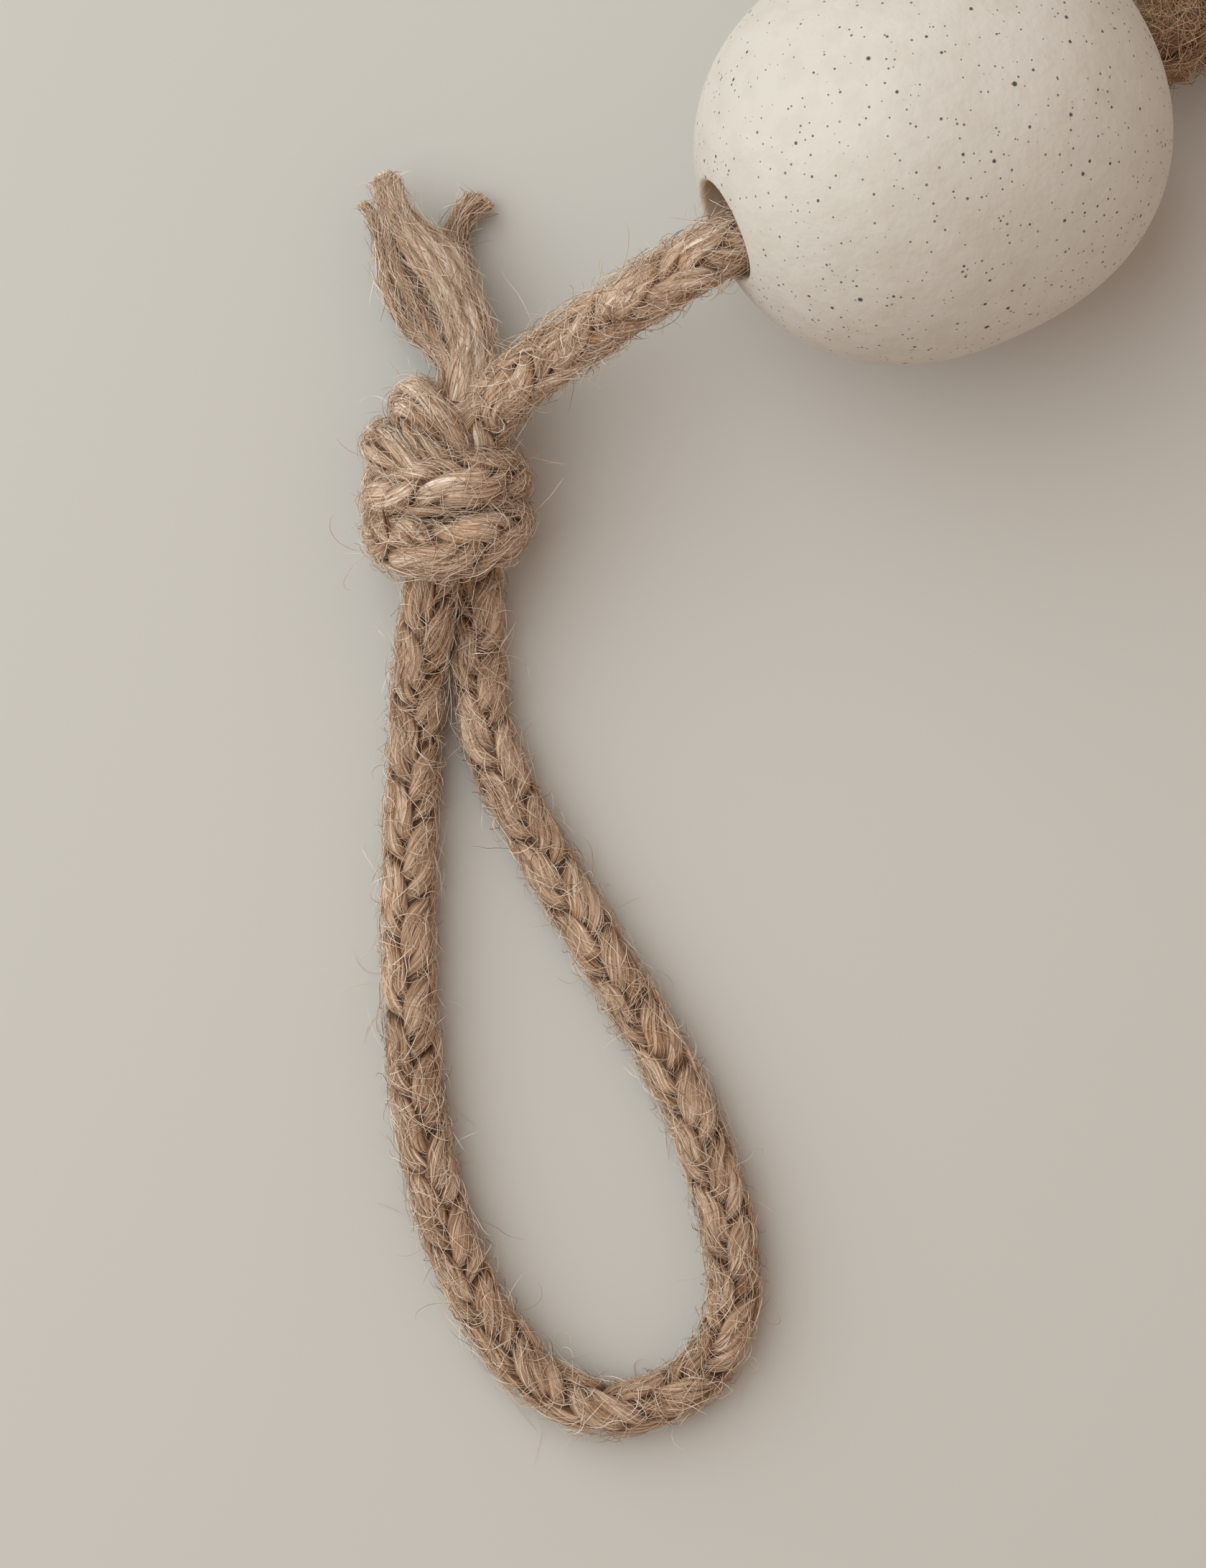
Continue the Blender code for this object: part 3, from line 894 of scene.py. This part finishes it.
def bead_outline():
    """(along, out) once round the bead's section."""
    half_length, half_width = BEAD_LENGTH / 2, BEAD_DIAMETER / 2
    lip = BORE_RADIUS + LIP_RADIUS
    power = 2 / BEAD_FULLNESS
    start = math.asin((lip / half_width) ** (1 / power))
    outer = []
    for step in range(OUTLINE_STEPS + 1):
        angle = start + (math.pi - 2 * start) * step / OUTLINE_STEPS
        along = math.copysign(abs(math.cos(angle)) ** power, math.cos(angle))
        outer.append((half_length * along, half_width * math.sin(angle) ** power))
    mouth = outer[0][0] - LIP_RADIUS
    near_lip = []
    for step in range(1, LIP_STEPS + 1):
        angle = math.pi / 2 * step / LIP_STEPS
        near_lip.append((mouth + LIP_RADIUS * math.cos(angle), lip - LIP_RADIUS * math.sin(angle)))
    bore = [(-mouth * (1 - 2 * step / BORE_STEPS), BORE_RADIUS) for step in range(1, BORE_STEPS)]
    far_lip = [(-along, out) for along, out in near_lip]
    return np.array(outer + far_lip + bore + near_lip[::-1])


def bead_surface():
    """The bead's points, slightly uneven outside and true in the bore, and how far out each is."""
    section = bead_outline()
    turn = 2 * np.pi * np.arange(BEAD_SEGMENTS) / BEAD_SEGMENTS
    along = section[:, 0][:, None] + 0 * turn[None, :]
    out = section[:, 1][:, None] + 0 * turn[None, :]
    uneven = sum(np.sin(turn * k + along * rise + start) * height for k, rise, start, height in BEAD_WAVES)
    grow = 1 + uneven / (BEAD_DIAMETER / 2) * np.clip((out - BORE_RADIUS) / EVEN_NEAR_BORE, 0, 1)
    points = (
        BEAD_CENTRE
        + along[..., None] * BORE_ALONG
        + (out * np.cos(turn) * grow)[..., None] * BORE_BESIDE
        + (out * np.sin(turn) * grow)[..., None] * BORE_ABOVE
    )
    return points, out


def make_bead(look):
    points, out = bead_surface()
    n, sides = points.shape[:2]
    index = np.arange(n * sides).reshape(n, sides)
    turned = np.roll(index, -1, axis=1)
    following = (np.roll(turned, -1, axis=0), np.roll(index, -1, axis=0))
    quads = np.stack([index, turned, *following], axis=-1)
    open_air = np.clip((out - BORE_RADIUS) / LIP_RADIUS, 0, 1)
    layers = {"place": points - BEAD_CENTRE, "shade_depth": open_air}
    bead = add_mesh("stoneware_bead", points, quads.reshape(-1, 4).tolist(), look, layers)
    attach(bead, "bead")
    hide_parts("bead")


# ---------------- the ropes


def ease(s, start, end):
    t = np.clip((s - start) / (end - start), 0, 1)
    return t * t * (3 - 2 * t)


def bend(pieces, before, after, start, end):
    """Bakes each piece's placement into its mesh. before, after, start and end are not used."""
    for piece in pieces:
        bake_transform(piece)


def make_turns(shape, fuzz, name, looks, body, node):
    """A knot's two pieces, its turns of rope and its hairs, which ride on one body."""
    pieces = [shape.make(name + "_wraps", looks[0]), fuzz.make(name + "_hairs", looks[1])]
    for piece in pieces:
        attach(piece, body)
    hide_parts(node)
    return pieces


LOOP_BEND = ((-0.0665, -0.0590, 0.006), (-0.0665, -0.0740, 0.006))
LOOP_ENDS = 0.012  # how much of the rope at either end is in the knot, and has no wisps
LOOP_SWAY = 0.18  # radians that the plait also turns to and fro
LOOP_SWAYS = 70  # radians of that wave for each metre
# Stretches of the loop, along it: round the bend, into it and out of it.
ROUND_THE_BEND = (0.090, 0.190)
INTO_THE_BEND = (0.085, 0.135)
OUT_OF_THE_BEND = (0.160, 0.200)


def loop_turn(s):
    """The chevrons point away from the knot on both legs, so the plait turns a quarter round the bend."""
    return np.radians(48 - 88 * ease(s, *ROUND_THE_BEND)) + LOOP_SWAY * np.sin(s * LOOP_SWAYS)


def loop_fade(s):
    """The rope is browner round the bend, and lighter again along the far leg."""
    return -0.60 - 0.4 * ease(s, *INTO_THE_BEND) + 0.5 * ease(s, *OUT_OF_THE_BEND)


def make_loop(looks):
    course = Course(LOOP_ROUTE)
    shape, fuzz, more_fuzz = Shape(), Shape(), Shape()
    plait(shape, fuzz, course, loop_turn, hairy=3.0, fade=loop_fade)
    hairs(more_fuzz, course, 5200, ROPE_RADIUS, fly=0.35)
    wisps(more_fuzz, course, 260, ROPE_RADIUS, LOOP_ENDS, course.length - LOOP_ENDS)
    loop = shape.make("loop_rope", looks[0])
    hair_pieces = [fuzz.make("loop_yarn_hairs", looks[1]), more_fuzz.make("loop_hairs", looks[1])]
    bend([loop] + hair_pieces, "knot", "loop", *LOOP_BEND)
    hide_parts("hanging_loop")
    return loop, course, hair_pieces


BEAD_MOUTH = np.array(NECK_ROUTE[-1])  # just inside the bead: the joint about which the bead swings
MOUTH_BEND = 0.006  # a stretch from this far before that joint to this far past it
PARTING = 0.0018  # the rope's two pieces meet this far before that stretch
NECK_OUTSIDE = 0.066  # how far along it the rope goes into the bead
FAR_MOUTH = 0.112  # and comes out again
NECK_SIZE = 1.07
NECK_PITCH = 0.024
WISPS_FROM = 0.010
SHORT_WISPS_FROM = 0.006
SHORT_WISPS = (0.0025, 0.006)
BEAD_SHADOW_STRETCH = (0.090, 0.105)  # the stretch over which the rope darkens with the bead's painted shadow, before the far mouth


def neck_course():
    run = [tuple(in_bead(*place)) for place in BORE_RUN]
    return Course(NECK_ROUTE + run)


def neck_turn(s):
    """The plait turns by two radians in 60 mm."""
    return np.radians(60) + 2.0 * s / 0.06


def neck_painted_shadow(s):
    """The bead's painted shadow: the rope is darker and browner where it comes out of the bead's far mouth.
    """
    return -0.1 - 3.4 * ease(s, *BEAD_SHADOW_STRETCH)


def make_neck(looks):
    """The rope from the knot to the stopper, in two pieces: the neck's and the bore's."""
    course = neck_course()
    neck_shape, bore_shape, fuzz, mouth_fuzz = Shape(), Shape(), Shape(), Shape()
    at_mouth = course.s[np.linalg.norm(course.points - BEAD_MOUTH, axis=1).argmin()]
    parting = at_mouth - MOUTH_BEND - PARTING
    shape = Parted(neck_shape, bore_shape, round(parting / (RING_SPACING * NECK_SIZE)))
    plait(
        shape, fuzz, course, neck_turn,
        size=NECK_SIZE, pitch=NECK_PITCH, hairy=3.5, until=NECK_OUTSIDE, fade=neck_painted_shadow,
    )
    hairs(fuzz, course, 2000, FUZZY_RADIUS, fly=0.5, until=NECK_OUTSIDE)
    hairs(mouth_fuzz, course, 350, FUZZY_RADIUS, fly=0.9, ends=at_mouth, until=NECK_OUTSIDE)
    wisps(fuzz, course, 110, ROPE_RADIUS, WISPS_FROM, NECK_OUTSIDE)
    wisps(fuzz, course, 200, ROPE_RADIUS, SHORT_WISPS_FROM, NECK_OUTSIDE, SHORT_WISPS)
    sliver(fuzz, (-0.0584, -0.0375, 0.0172), (-0.0558, -0.0349, 0.0180), half_width=0.00042, tone=1.6)
    neck = [neck_shape.make("neck_rope_visible", looks[0]), fuzz.make("neck_hairs", looks[1])]
    bore = [bore_shape.make("bore_rope_visible", looks[0]), mouth_fuzz.make("bore_mouth_hairs", looks[1])]
    before, after = (tuple(BEAD_MOUTH + BORE_ALONG * way) for way in (-MOUTH_BEND, MOUTH_BEND))
    bend(neck, "knot", "neck", NECK_ROUTE[1], NECK_ROUTE[3])
    bend(bore, "neck", "strand", before, after)
    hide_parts("neck_rope")
    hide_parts("bore_rope")
    return neck, bore, course, parting


# ---------------- the loop knot

WRAP_HALF_X = 0.0086
WRAP_HALF_Z = 0.0077
WRAP_STEP = 20  # degrees
WRAP_ENDS = 60  # degrees over which the ends are drawn in, and the share by which
WRAP_ENDS_IN = 0.30
HAIRS_PER_WISP = 25
WRAP_HEIGHTS = [  # (degrees round from the front, y): two turns of rope, the lower one sagging at the front
    (-170, -0.0542),
    (-90, -0.0522),
    (-45, -0.0545),
    (-15, -0.0556),
    (15, -0.0551),
    (50, -0.0533),
    (90, -0.0509),
    (180, -0.0500),
    (270, -0.0474),
    (315, -0.0471),
    (360, -0.0464),
    (405, -0.0454),
    (450, -0.0449),
    (530, -0.0448),
]


def wrap_route():
    """The two turns of rope round the knot. Their ends are drawn in."""
    angles, heights = zip(*WRAP_HEIGHTS)
    points = []
    for degrees in range(angles[0], angles[-1] + 1, WRAP_STEP):
        phi = math.radians(degrees)
        from_end = min(degrees - angles[0], angles[-1] - degrees)
        ends = 1 - WRAP_ENDS_IN * (1 - ease(from_end, 0, WRAP_ENDS))
        points.append(
            (
                KNOT_CENTRE[0] + WRAP_HALF_X * ends * math.sin(phi),
                float(np.interp(degrees, angles, heights)),
                KNOT_CENTRE[2] + WRAP_HALF_Z * ends * math.cos(phi),
            )
        )
    return points


def pressed(wide, high):
    """A cross-section change: the rope is squeezed to these shares of its width and height."""

    def squash(x, y, s):
        return x * wide, y * high

    return squash


def knot_band(shape, fuzz, route, turned, wide, high, pitch, hair_count, tone):
    """One pass of rope on the knot, facing out from the knot's middle line."""
    course = Course(route)
    middle = np.array([KNOT_CENTRE[0], 0, KNOT_CENTRE[2]])
    outward = (course.points - middle) * (1, 0, 1)
    course.face(outward)
    squash = pressed(wide, high)
    plait(shape, fuzz, course, turned, pitch=pitch, squash=squash, hairy=3.5, fade=even(tone))
    hairs(fuzz, course, hair_count, ROPE_RADIUS, squash=squash, fly=0.35, ends=0.0)
    wisps(fuzz, course, hair_count // HAIRS_PER_WISP, ROPE_RADIUS * high)


HUMP_ROUTE = [
    (-0.0708, -0.0345, 0.0060),
    (-0.0719, -0.0345, 0.0110),
    (-0.0711, -0.0352, 0.0155),
    (-0.0696, -0.0375, 0.0180),
    (-0.0677, -0.0405, 0.0178),
    (-0.0660, -0.0436, 0.0155),
    (-0.0650, -0.0460, 0.0120),
]
SHOULDER_ROUTE = [
    (-0.0752, -0.0388, 0.0055),
    (-0.0761, -0.0399, 0.0105),
    (-0.0755, -0.0411, 0.0148),
    (-0.0736, -0.0430, 0.0170),
    (-0.0714, -0.0454, 0.0168),
    (-0.0698, -0.0476, 0.0140),
]
UPRIGHT_ROUTE = [
    (-0.0750, -0.0400, 0.0085),
    (-0.0768, -0.0430, 0.0105),
    (-0.0773, -0.0480, 0.0115),
    (-0.0766, -0.0530, 0.0108),
    (-0.0745, -0.0560, 0.0095),
]
CORE_ROUTE = [
    (-0.0665, -0.0560, 0.0105),
    (-0.0668, -0.0500, 0.0112),
    (-0.0664, -0.0440, 0.0114),
    (-0.0650, -0.0385, 0.0116),
    (-0.0640, -0.0340, 0.0118),
]


def make_knot(looks):
    shape, fuzz = Shape(), Shape()
    steep = even(np.radians(80))
    sliver(fuzz, (-0.0757, -0.0497, 0.0190), (-0.0748, -0.0540, 0.0192), half_width=0.00028, tone=-2.4)
    sliver(fuzz, (-0.0752, -0.0505, 0.0196), (-0.0745, -0.0530, 0.0198), half_width=0.00020, tone=-2.0)
    for route, turned, wide, high, pitch, hair_count, tone in (
        (wrap_route(), lambda s: np.radians(45) + 6 * s, 1.04, 0.86, 0.0225, 3300, 0.0),
        (HUMP_ROUTE, steep, 0.95, 0.85, 0.060, 900, 1.0),
        (SHOULDER_ROUTE, steep, 0.80, 0.75, 0.060, 600, 0.0),
        (UPRIGHT_ROUTE, steep, 0.50, 0.45, 0.060, 120, 0.0),
    ):
        knot_band(shape, fuzz, route, turned, wide, high, pitch, hair_count, tone)
    plait(shape, fuzz, Course(CORE_ROUTE), even(0), size=1.35)
    return make_turns(shape, fuzz, "loop_knot", looks, "knot", "loop_knot")


# ---------------- the tails

STATIONS = (0.0, 0.20, 0.35, 0.50, 0.62, 0.75, 0.87, 1.0)
MIDDLE_STATION = 3
TAIL_PAINTED_LIGHT = 0.08  # painted light: a yarn is lighter by this for each tenth of a millimetre that it lies high there
TAIL_ROOT = 0.006  # nearer to the knot than this, a tail has no hairs
TAIL_STRAY = 0.0007
TAIL_SPACING = RING_SPACING * 0.8
TAIL_WANDER = 0.00012
TAIL_RISING = 0.00008
TAIL_REACH = 0.005
THINNING = (0.60, 0.90)  # shares of a tail over which its yarns get thinner, and then thicker again
THINNED_BY = 0.30
FRAYING = (0.90, 1.0)
FRAYED_BY = 0.22
TENTH = 0.0001
OUT_OF_THE_SHADE = (0.025, 0.033)  # the stretch of the short tail that comes out from under the long one
# Each yarn: how far across the tail and how high it runs at those stations, in tenths of a millimetre, the
# share of the tail at which it is cut, and how much lighter or darker it is; the two at -5 lie under the
# others and are darker with painted shade.
LONG_TAIL_YARNS = [
    ((-20, -28, -53, -66, -61, -43, -37, -58), (0, -2, -4, -6, -6, -4, -6, -10), 0.93, 0.0),
    ((-12, -18, -35, -38, -38, -29, -20, -13), (6, 4, -2, -5, -4, 0, 3, 3), 1.0, 0.0),
    ((-8, -9, -15, -13, -13, -16, -14, -9), (-10, -12, -16, -17, -15, -11, -8, -6), 0.97, 0.0),
    ((-14, -23, -42, -52, -49, -35, -30, -30), (-8, -13, -21, -23, -21, -16, -12, -10), 0.85, -5.0),
    ((-10, -14, -24, -26, -26, -22, -18, -14), (-12, -19, -26, -27, -25, -20, -15, -12), 0.85, -5.0),
    ((-6, -10, -7, -4, -6, -10, -11, -8), (13, 14, 13, 12, 11, 11, 10, 7), 1.0, 0.0),
    ((6, 4, 7, 10, 8, 1, -2, -1), (16, 19, 20, 20, 19, 15, 12, 8), 1.01, 0.0),
    ((16, 20, 23, 26, 25, 13, 5, 4), (12, 15, 17, 17, 16, 12, 9, 6), 0.99, 0.0),
    ((24, 35, 37, 39, 39, 20, 6, 3), (0, 4, 5, 5, 4, 2, 0, -3), 0.98, 0.0),
    ((10, 22, 24, 26, 26, 10, 2, -3), (-14, -11, -9, -8, -7, -6, -6, -6), 1.0, 0.0),
    ((0, 4, 5, 7, 6, -3, -7, -7), (-12, -10, -9, -9, -9, -7, -6, -2), 0.98, 0.0),
]
SHORT_TAIL_YARNS = [
    ((-9, -9, -9, -9, -9, -10, -9, -10), (4,) * 8, 0.97, 0.0),
    ((2, 2, 1, 1, 2, 1, 2, 2), (9,) * 8, 0.99, 0.0),
    ((10, 10, 10, 10, 10, 10, 11, 13), (2,) * 8, 1.0, 0.0),
    ((0, 0, 0, 0, 0, 0, 1, 2), (-9,) * 8, 1.0, 0.0),
]
STOPPER_TAIL_YARNS = [
    ((-23, -23, -24, -28, -33, -34, -32, -26), (9, 9, 8, 5, 2, 0, -3, -6), 0.96, 0.0),
    ((-8, -8, -9, -10, -12, -12, -11, -10), (23, 23, 22, 21, 20, 17, 12, 6), 1.0, 0.0),
    ((9, 9, 9, 10, 11, 10, 9, 6), (23, 23, 22, 22, 21, 17, 12, 7), 0.99, 0.0),
    ((23, 23, 25, 29, 33, 33, 29, 20), (9, 9, 8, 6, 3, 0, -4, -7), 1.0, 0.0),
    ((24, 24, 24, 25, 26, 24, 20, 14), (-10, -10, -12, -15, -17, -18, -19, -18), 0.97, 0.0),
    ((8, 8, 7, 7, 8, 7, 5, 3), (-23, -23, -23, -23, -23, -23, -22, -20), 0.99, 0.0),
    ((-9, -9, -8, -8, -8, -9, -9, -9), (-23, -23, -23, -22, -22, -22, -21, -19), 0.98, 0.0),
    ((-23, -23, -24, -25, -26, -26, -23, -20), (-10, -10, -11, -13, -15, -16, -17, -16), 1.0, 0.0),
]


def eased_stations(values, t):
    """A smooth run through the values at STATIONS."""
    slopes = np.gradient(values, STATIONS)
    i = np.clip(np.searchsorted(STATIONS, t, side="right") - 1, 0, len(STATIONS) - 2)
    low, high = np.array(STATIONS)[i], np.array(STATIONS)[i + 1]
    span = high - low
    u = np.clip((t - low) / span, 0, None)
    v = np.array(values)
    return (
        (2 * u**3 - 3 * u**2 + 1) * v[i]
        + (u**3 - 2 * u**2 + u) * span * slopes[i]
        + (3 * u**2 - 2 * u**3) * v[i + 1]
        + (u**3 - u**2) * span * slopes[i + 1]
    )


def tail(shape, fuzz, route, yarns, half_wide, half_high, hair_count, fade):
    """A rope end whose yarns have parted, cut across at the tip."""
    course = Course(route)
    for across, over, cut, tone in yarns:
        s = np.arange(0, course.length * cut, TAIL_SPACING)
        t = s / course.length
        x = eased_stations(across, t) * TENTH + wander(s, TAIL_WANDER, TAIL_REACH)
        y = eased_stations(over, t) * TENTH + wander(s, TAIL_RISING, TAIL_REACH)
        waist = 1 - THINNED_BY * ease(t, *THINNING) + FRAYED_BY * ease(t, *FRAYING)
        wide = half_wide * waist
        tone_and_painted_light = shift(tone + TAIL_PAINTED_LIGHT * over[MIDDLE_STATION], fade)
        up = np.pi / 2 + 0 * s
        yarn(shape, course, s, x, y, wide, half_high * waist, up, fade=tone_and_painted_light, apart=True)
        yarn_hairs(fuzz, course, hair_count, s, x, y, wide, up, ends=TAIL_ROOT, fly=0.3, stray=TAIL_STRAY)
        cut_fibres(fuzz, course, s[-1], x[-1], y[-1], wide[-1])


def shift(tone, fade):
    """A tail yarn's change of tone along it."""
    return lambda s: tone + 0 * s + fade(s)


def short_tail_fade(s):
    """The short tail is brown where the long one shades it."""
    return -2.2 * (1 - ease(s, *OUT_OF_THE_SHADE))


def make_tail(name, node, looks, route, yarns, half_wide, half_high, hair_count, fade, hinge):
    """A rope end in two pieces, its yarns and its hairs."""
    shape, fuzz = Shape(), Shape()
    tail(shape, fuzz, route, yarns, half_wide, half_high, hair_count, fade)
    pieces = [shape.make(name + "_yarns", looks[0]), fuzz.make(name + "_hairs", looks[1])]
    bend(pieces, *hinge)
    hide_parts(node)
    return pieces


def make_tails(looks):
    long_tail = make_tail(
        "long_tail", "loop_tail_long", looks, LONG_TAIL_ROUTE, LONG_TAIL_YARNS,
        half_wide=0.00112, half_high=0.00108, hair_count=440, fade=even(0),
        hinge=("knot", "long_tail", (-0.065, -0.030, 0.009), (-0.066, -0.021, 0.009)),
    )
    short_tail = make_tail(
        "short_tail", "loop_tail_short", looks, SHORT_TAIL_ROUTE, SHORT_TAIL_YARNS,
        half_wide=0.00115, half_high=0.00105, hair_count=260, fade=short_tail_fade,
        hinge=("knot", "short_tail", (-0.065, -0.030, 0.003), (-0.066, -0.021, 0.003)),
    )
    return long_tail + short_tail


def make_stopper_tail(looks):
    return make_tail(
        "stopper_tail", "stopper_tail", looks, STOPPER_TAIL_ROUTE, STOPPER_TAIL_YARNS,
        half_wide=0.00118, half_high=0.00112, hair_count=260, fade=even(-0.9),
        hinge=("strand", "end_tail", (0.0510, 0.0293, 0.006), (0.0580, 0.0340, 0.006)),
    )


# ---------------- the stopper knot

STOPPER_CENTRE = np.array((0.0404, 0.0243, 0.0111))
STOPPER_HEADING = math.radians(28.5)
STOPPER_TURNS = (-200, 860)  # degrees
STOPPER_STEP = 20
STOPPER_RISING = (-120, 800)  # degrees between which the turns move along
STOPPER_START = -0.0074
STOPPER_ADVANCE = 0.0050  # for each turn
STOPPER_RADIUS = 0.0062
STOPPER_ENDS = 110  # degrees over which the ends are drawn in, and the share by which
STOPPER_ENDS_IN = 0.62
STOPPER_WISPS = (0.003, 0.009)


def stopper_place(along, beside, above):
    """A point given along the rope, beside it and above the stopper knot's middle."""
    c, s = math.cos(STOPPER_HEADING), math.sin(STOPPER_HEADING)
    return (
        STOPPER_CENTRE[0] + along * c - beside * s,
        STOPPER_CENTRE[1] + along * s + beside * c,
        STOPPER_CENTRE[2] + above,
    )


def stopper_route():
    """The turns of rope round the stopper knot. Their ends are drawn in."""
    first, last = STOPPER_TURNS
    points = []
    for degrees in range(first, last + 1, STOPPER_STEP):
        phi = math.radians(degrees)
        along = STOPPER_START + STOPPER_ADVANCE * float(np.clip(degrees, *STOPPER_RISING)) / 360
        from_end = min(degrees - first, last - degrees)
        out = STOPPER_RADIUS * (1 - STOPPER_ENDS_IN * (1 - ease(from_end, 0, STOPPER_ENDS)))
        points.append(stopper_place(along, out * math.sin(phi), out * math.cos(phi)))
    return points


def make_stopper(looks):
    shape, fuzz = Shape(), Shape()
    rope = neck_course()
    hairs(fuzz, rope, 900, FUZZY_RADIUS, fly=0.8, ends=FAR_MOUTH, until=rope.length - 0.002)
    wisps(fuzz, rope, 220, ROPE_RADIUS, FAR_MOUTH, lengths=STOPPER_WISPS)
    course = Course(stopper_route())
    heading = np.array((math.cos(STOPPER_HEADING), math.sin(STOPPER_HEADING), 0))
    outward = course.points - STOPPER_CENTRE
    outward = outward - heading * (outward @ heading)[:, None]
    course.face(outward)
    squash = pressed(wide=0.78, high=0.95)
    plait(shape, fuzz, course, lambda s: np.radians(20) + 10 * s, pitch=0.030, squash=squash, hairy=3.0)
    hairs(fuzz, course, 2600, ROPE_RADIUS, squash=squash, fly=0.6, ends=0.0)
    wisps(fuzz, course, 420, ROPE_RADIUS, lengths=STOPPER_WISPS)
    core = Course([stopper_place(along, 0, 0) for along in (-0.008, 0, 0.008)])
    plait(shape, fuzz, core, even(0))
    return make_turns(shape, fuzz, "stopper_knot", looks, "strand", "stopper_knot")


# ---------------- the whole


def main():
    set_camera()
    looks = (jute_look("jute_rope", ROPE_TINT), hair_look("jute_hair", ROPE_TINT))
    # the stopper knot's looks carry painted shade
    shaded_looks = (jute_look("jute_painted_shade", STOPPER_PAINTED_SHADE), hair_look("jute_painted_shade_hair", STOPPER_HAIR_PAINTED_SHADE))
    loop, loop_course, loop_fuzz = make_loop(looks)
    neck, bore, rope_course, parting = make_neck(looks)
    knot = make_knot(looks)
    tails = make_tails(looks)
    stopper = make_stopper(shaded_looks)
    end_tail = make_stopper_tail(looks)
    make_bead(stoneware_look())
    make_floor()
    set_light()


main()
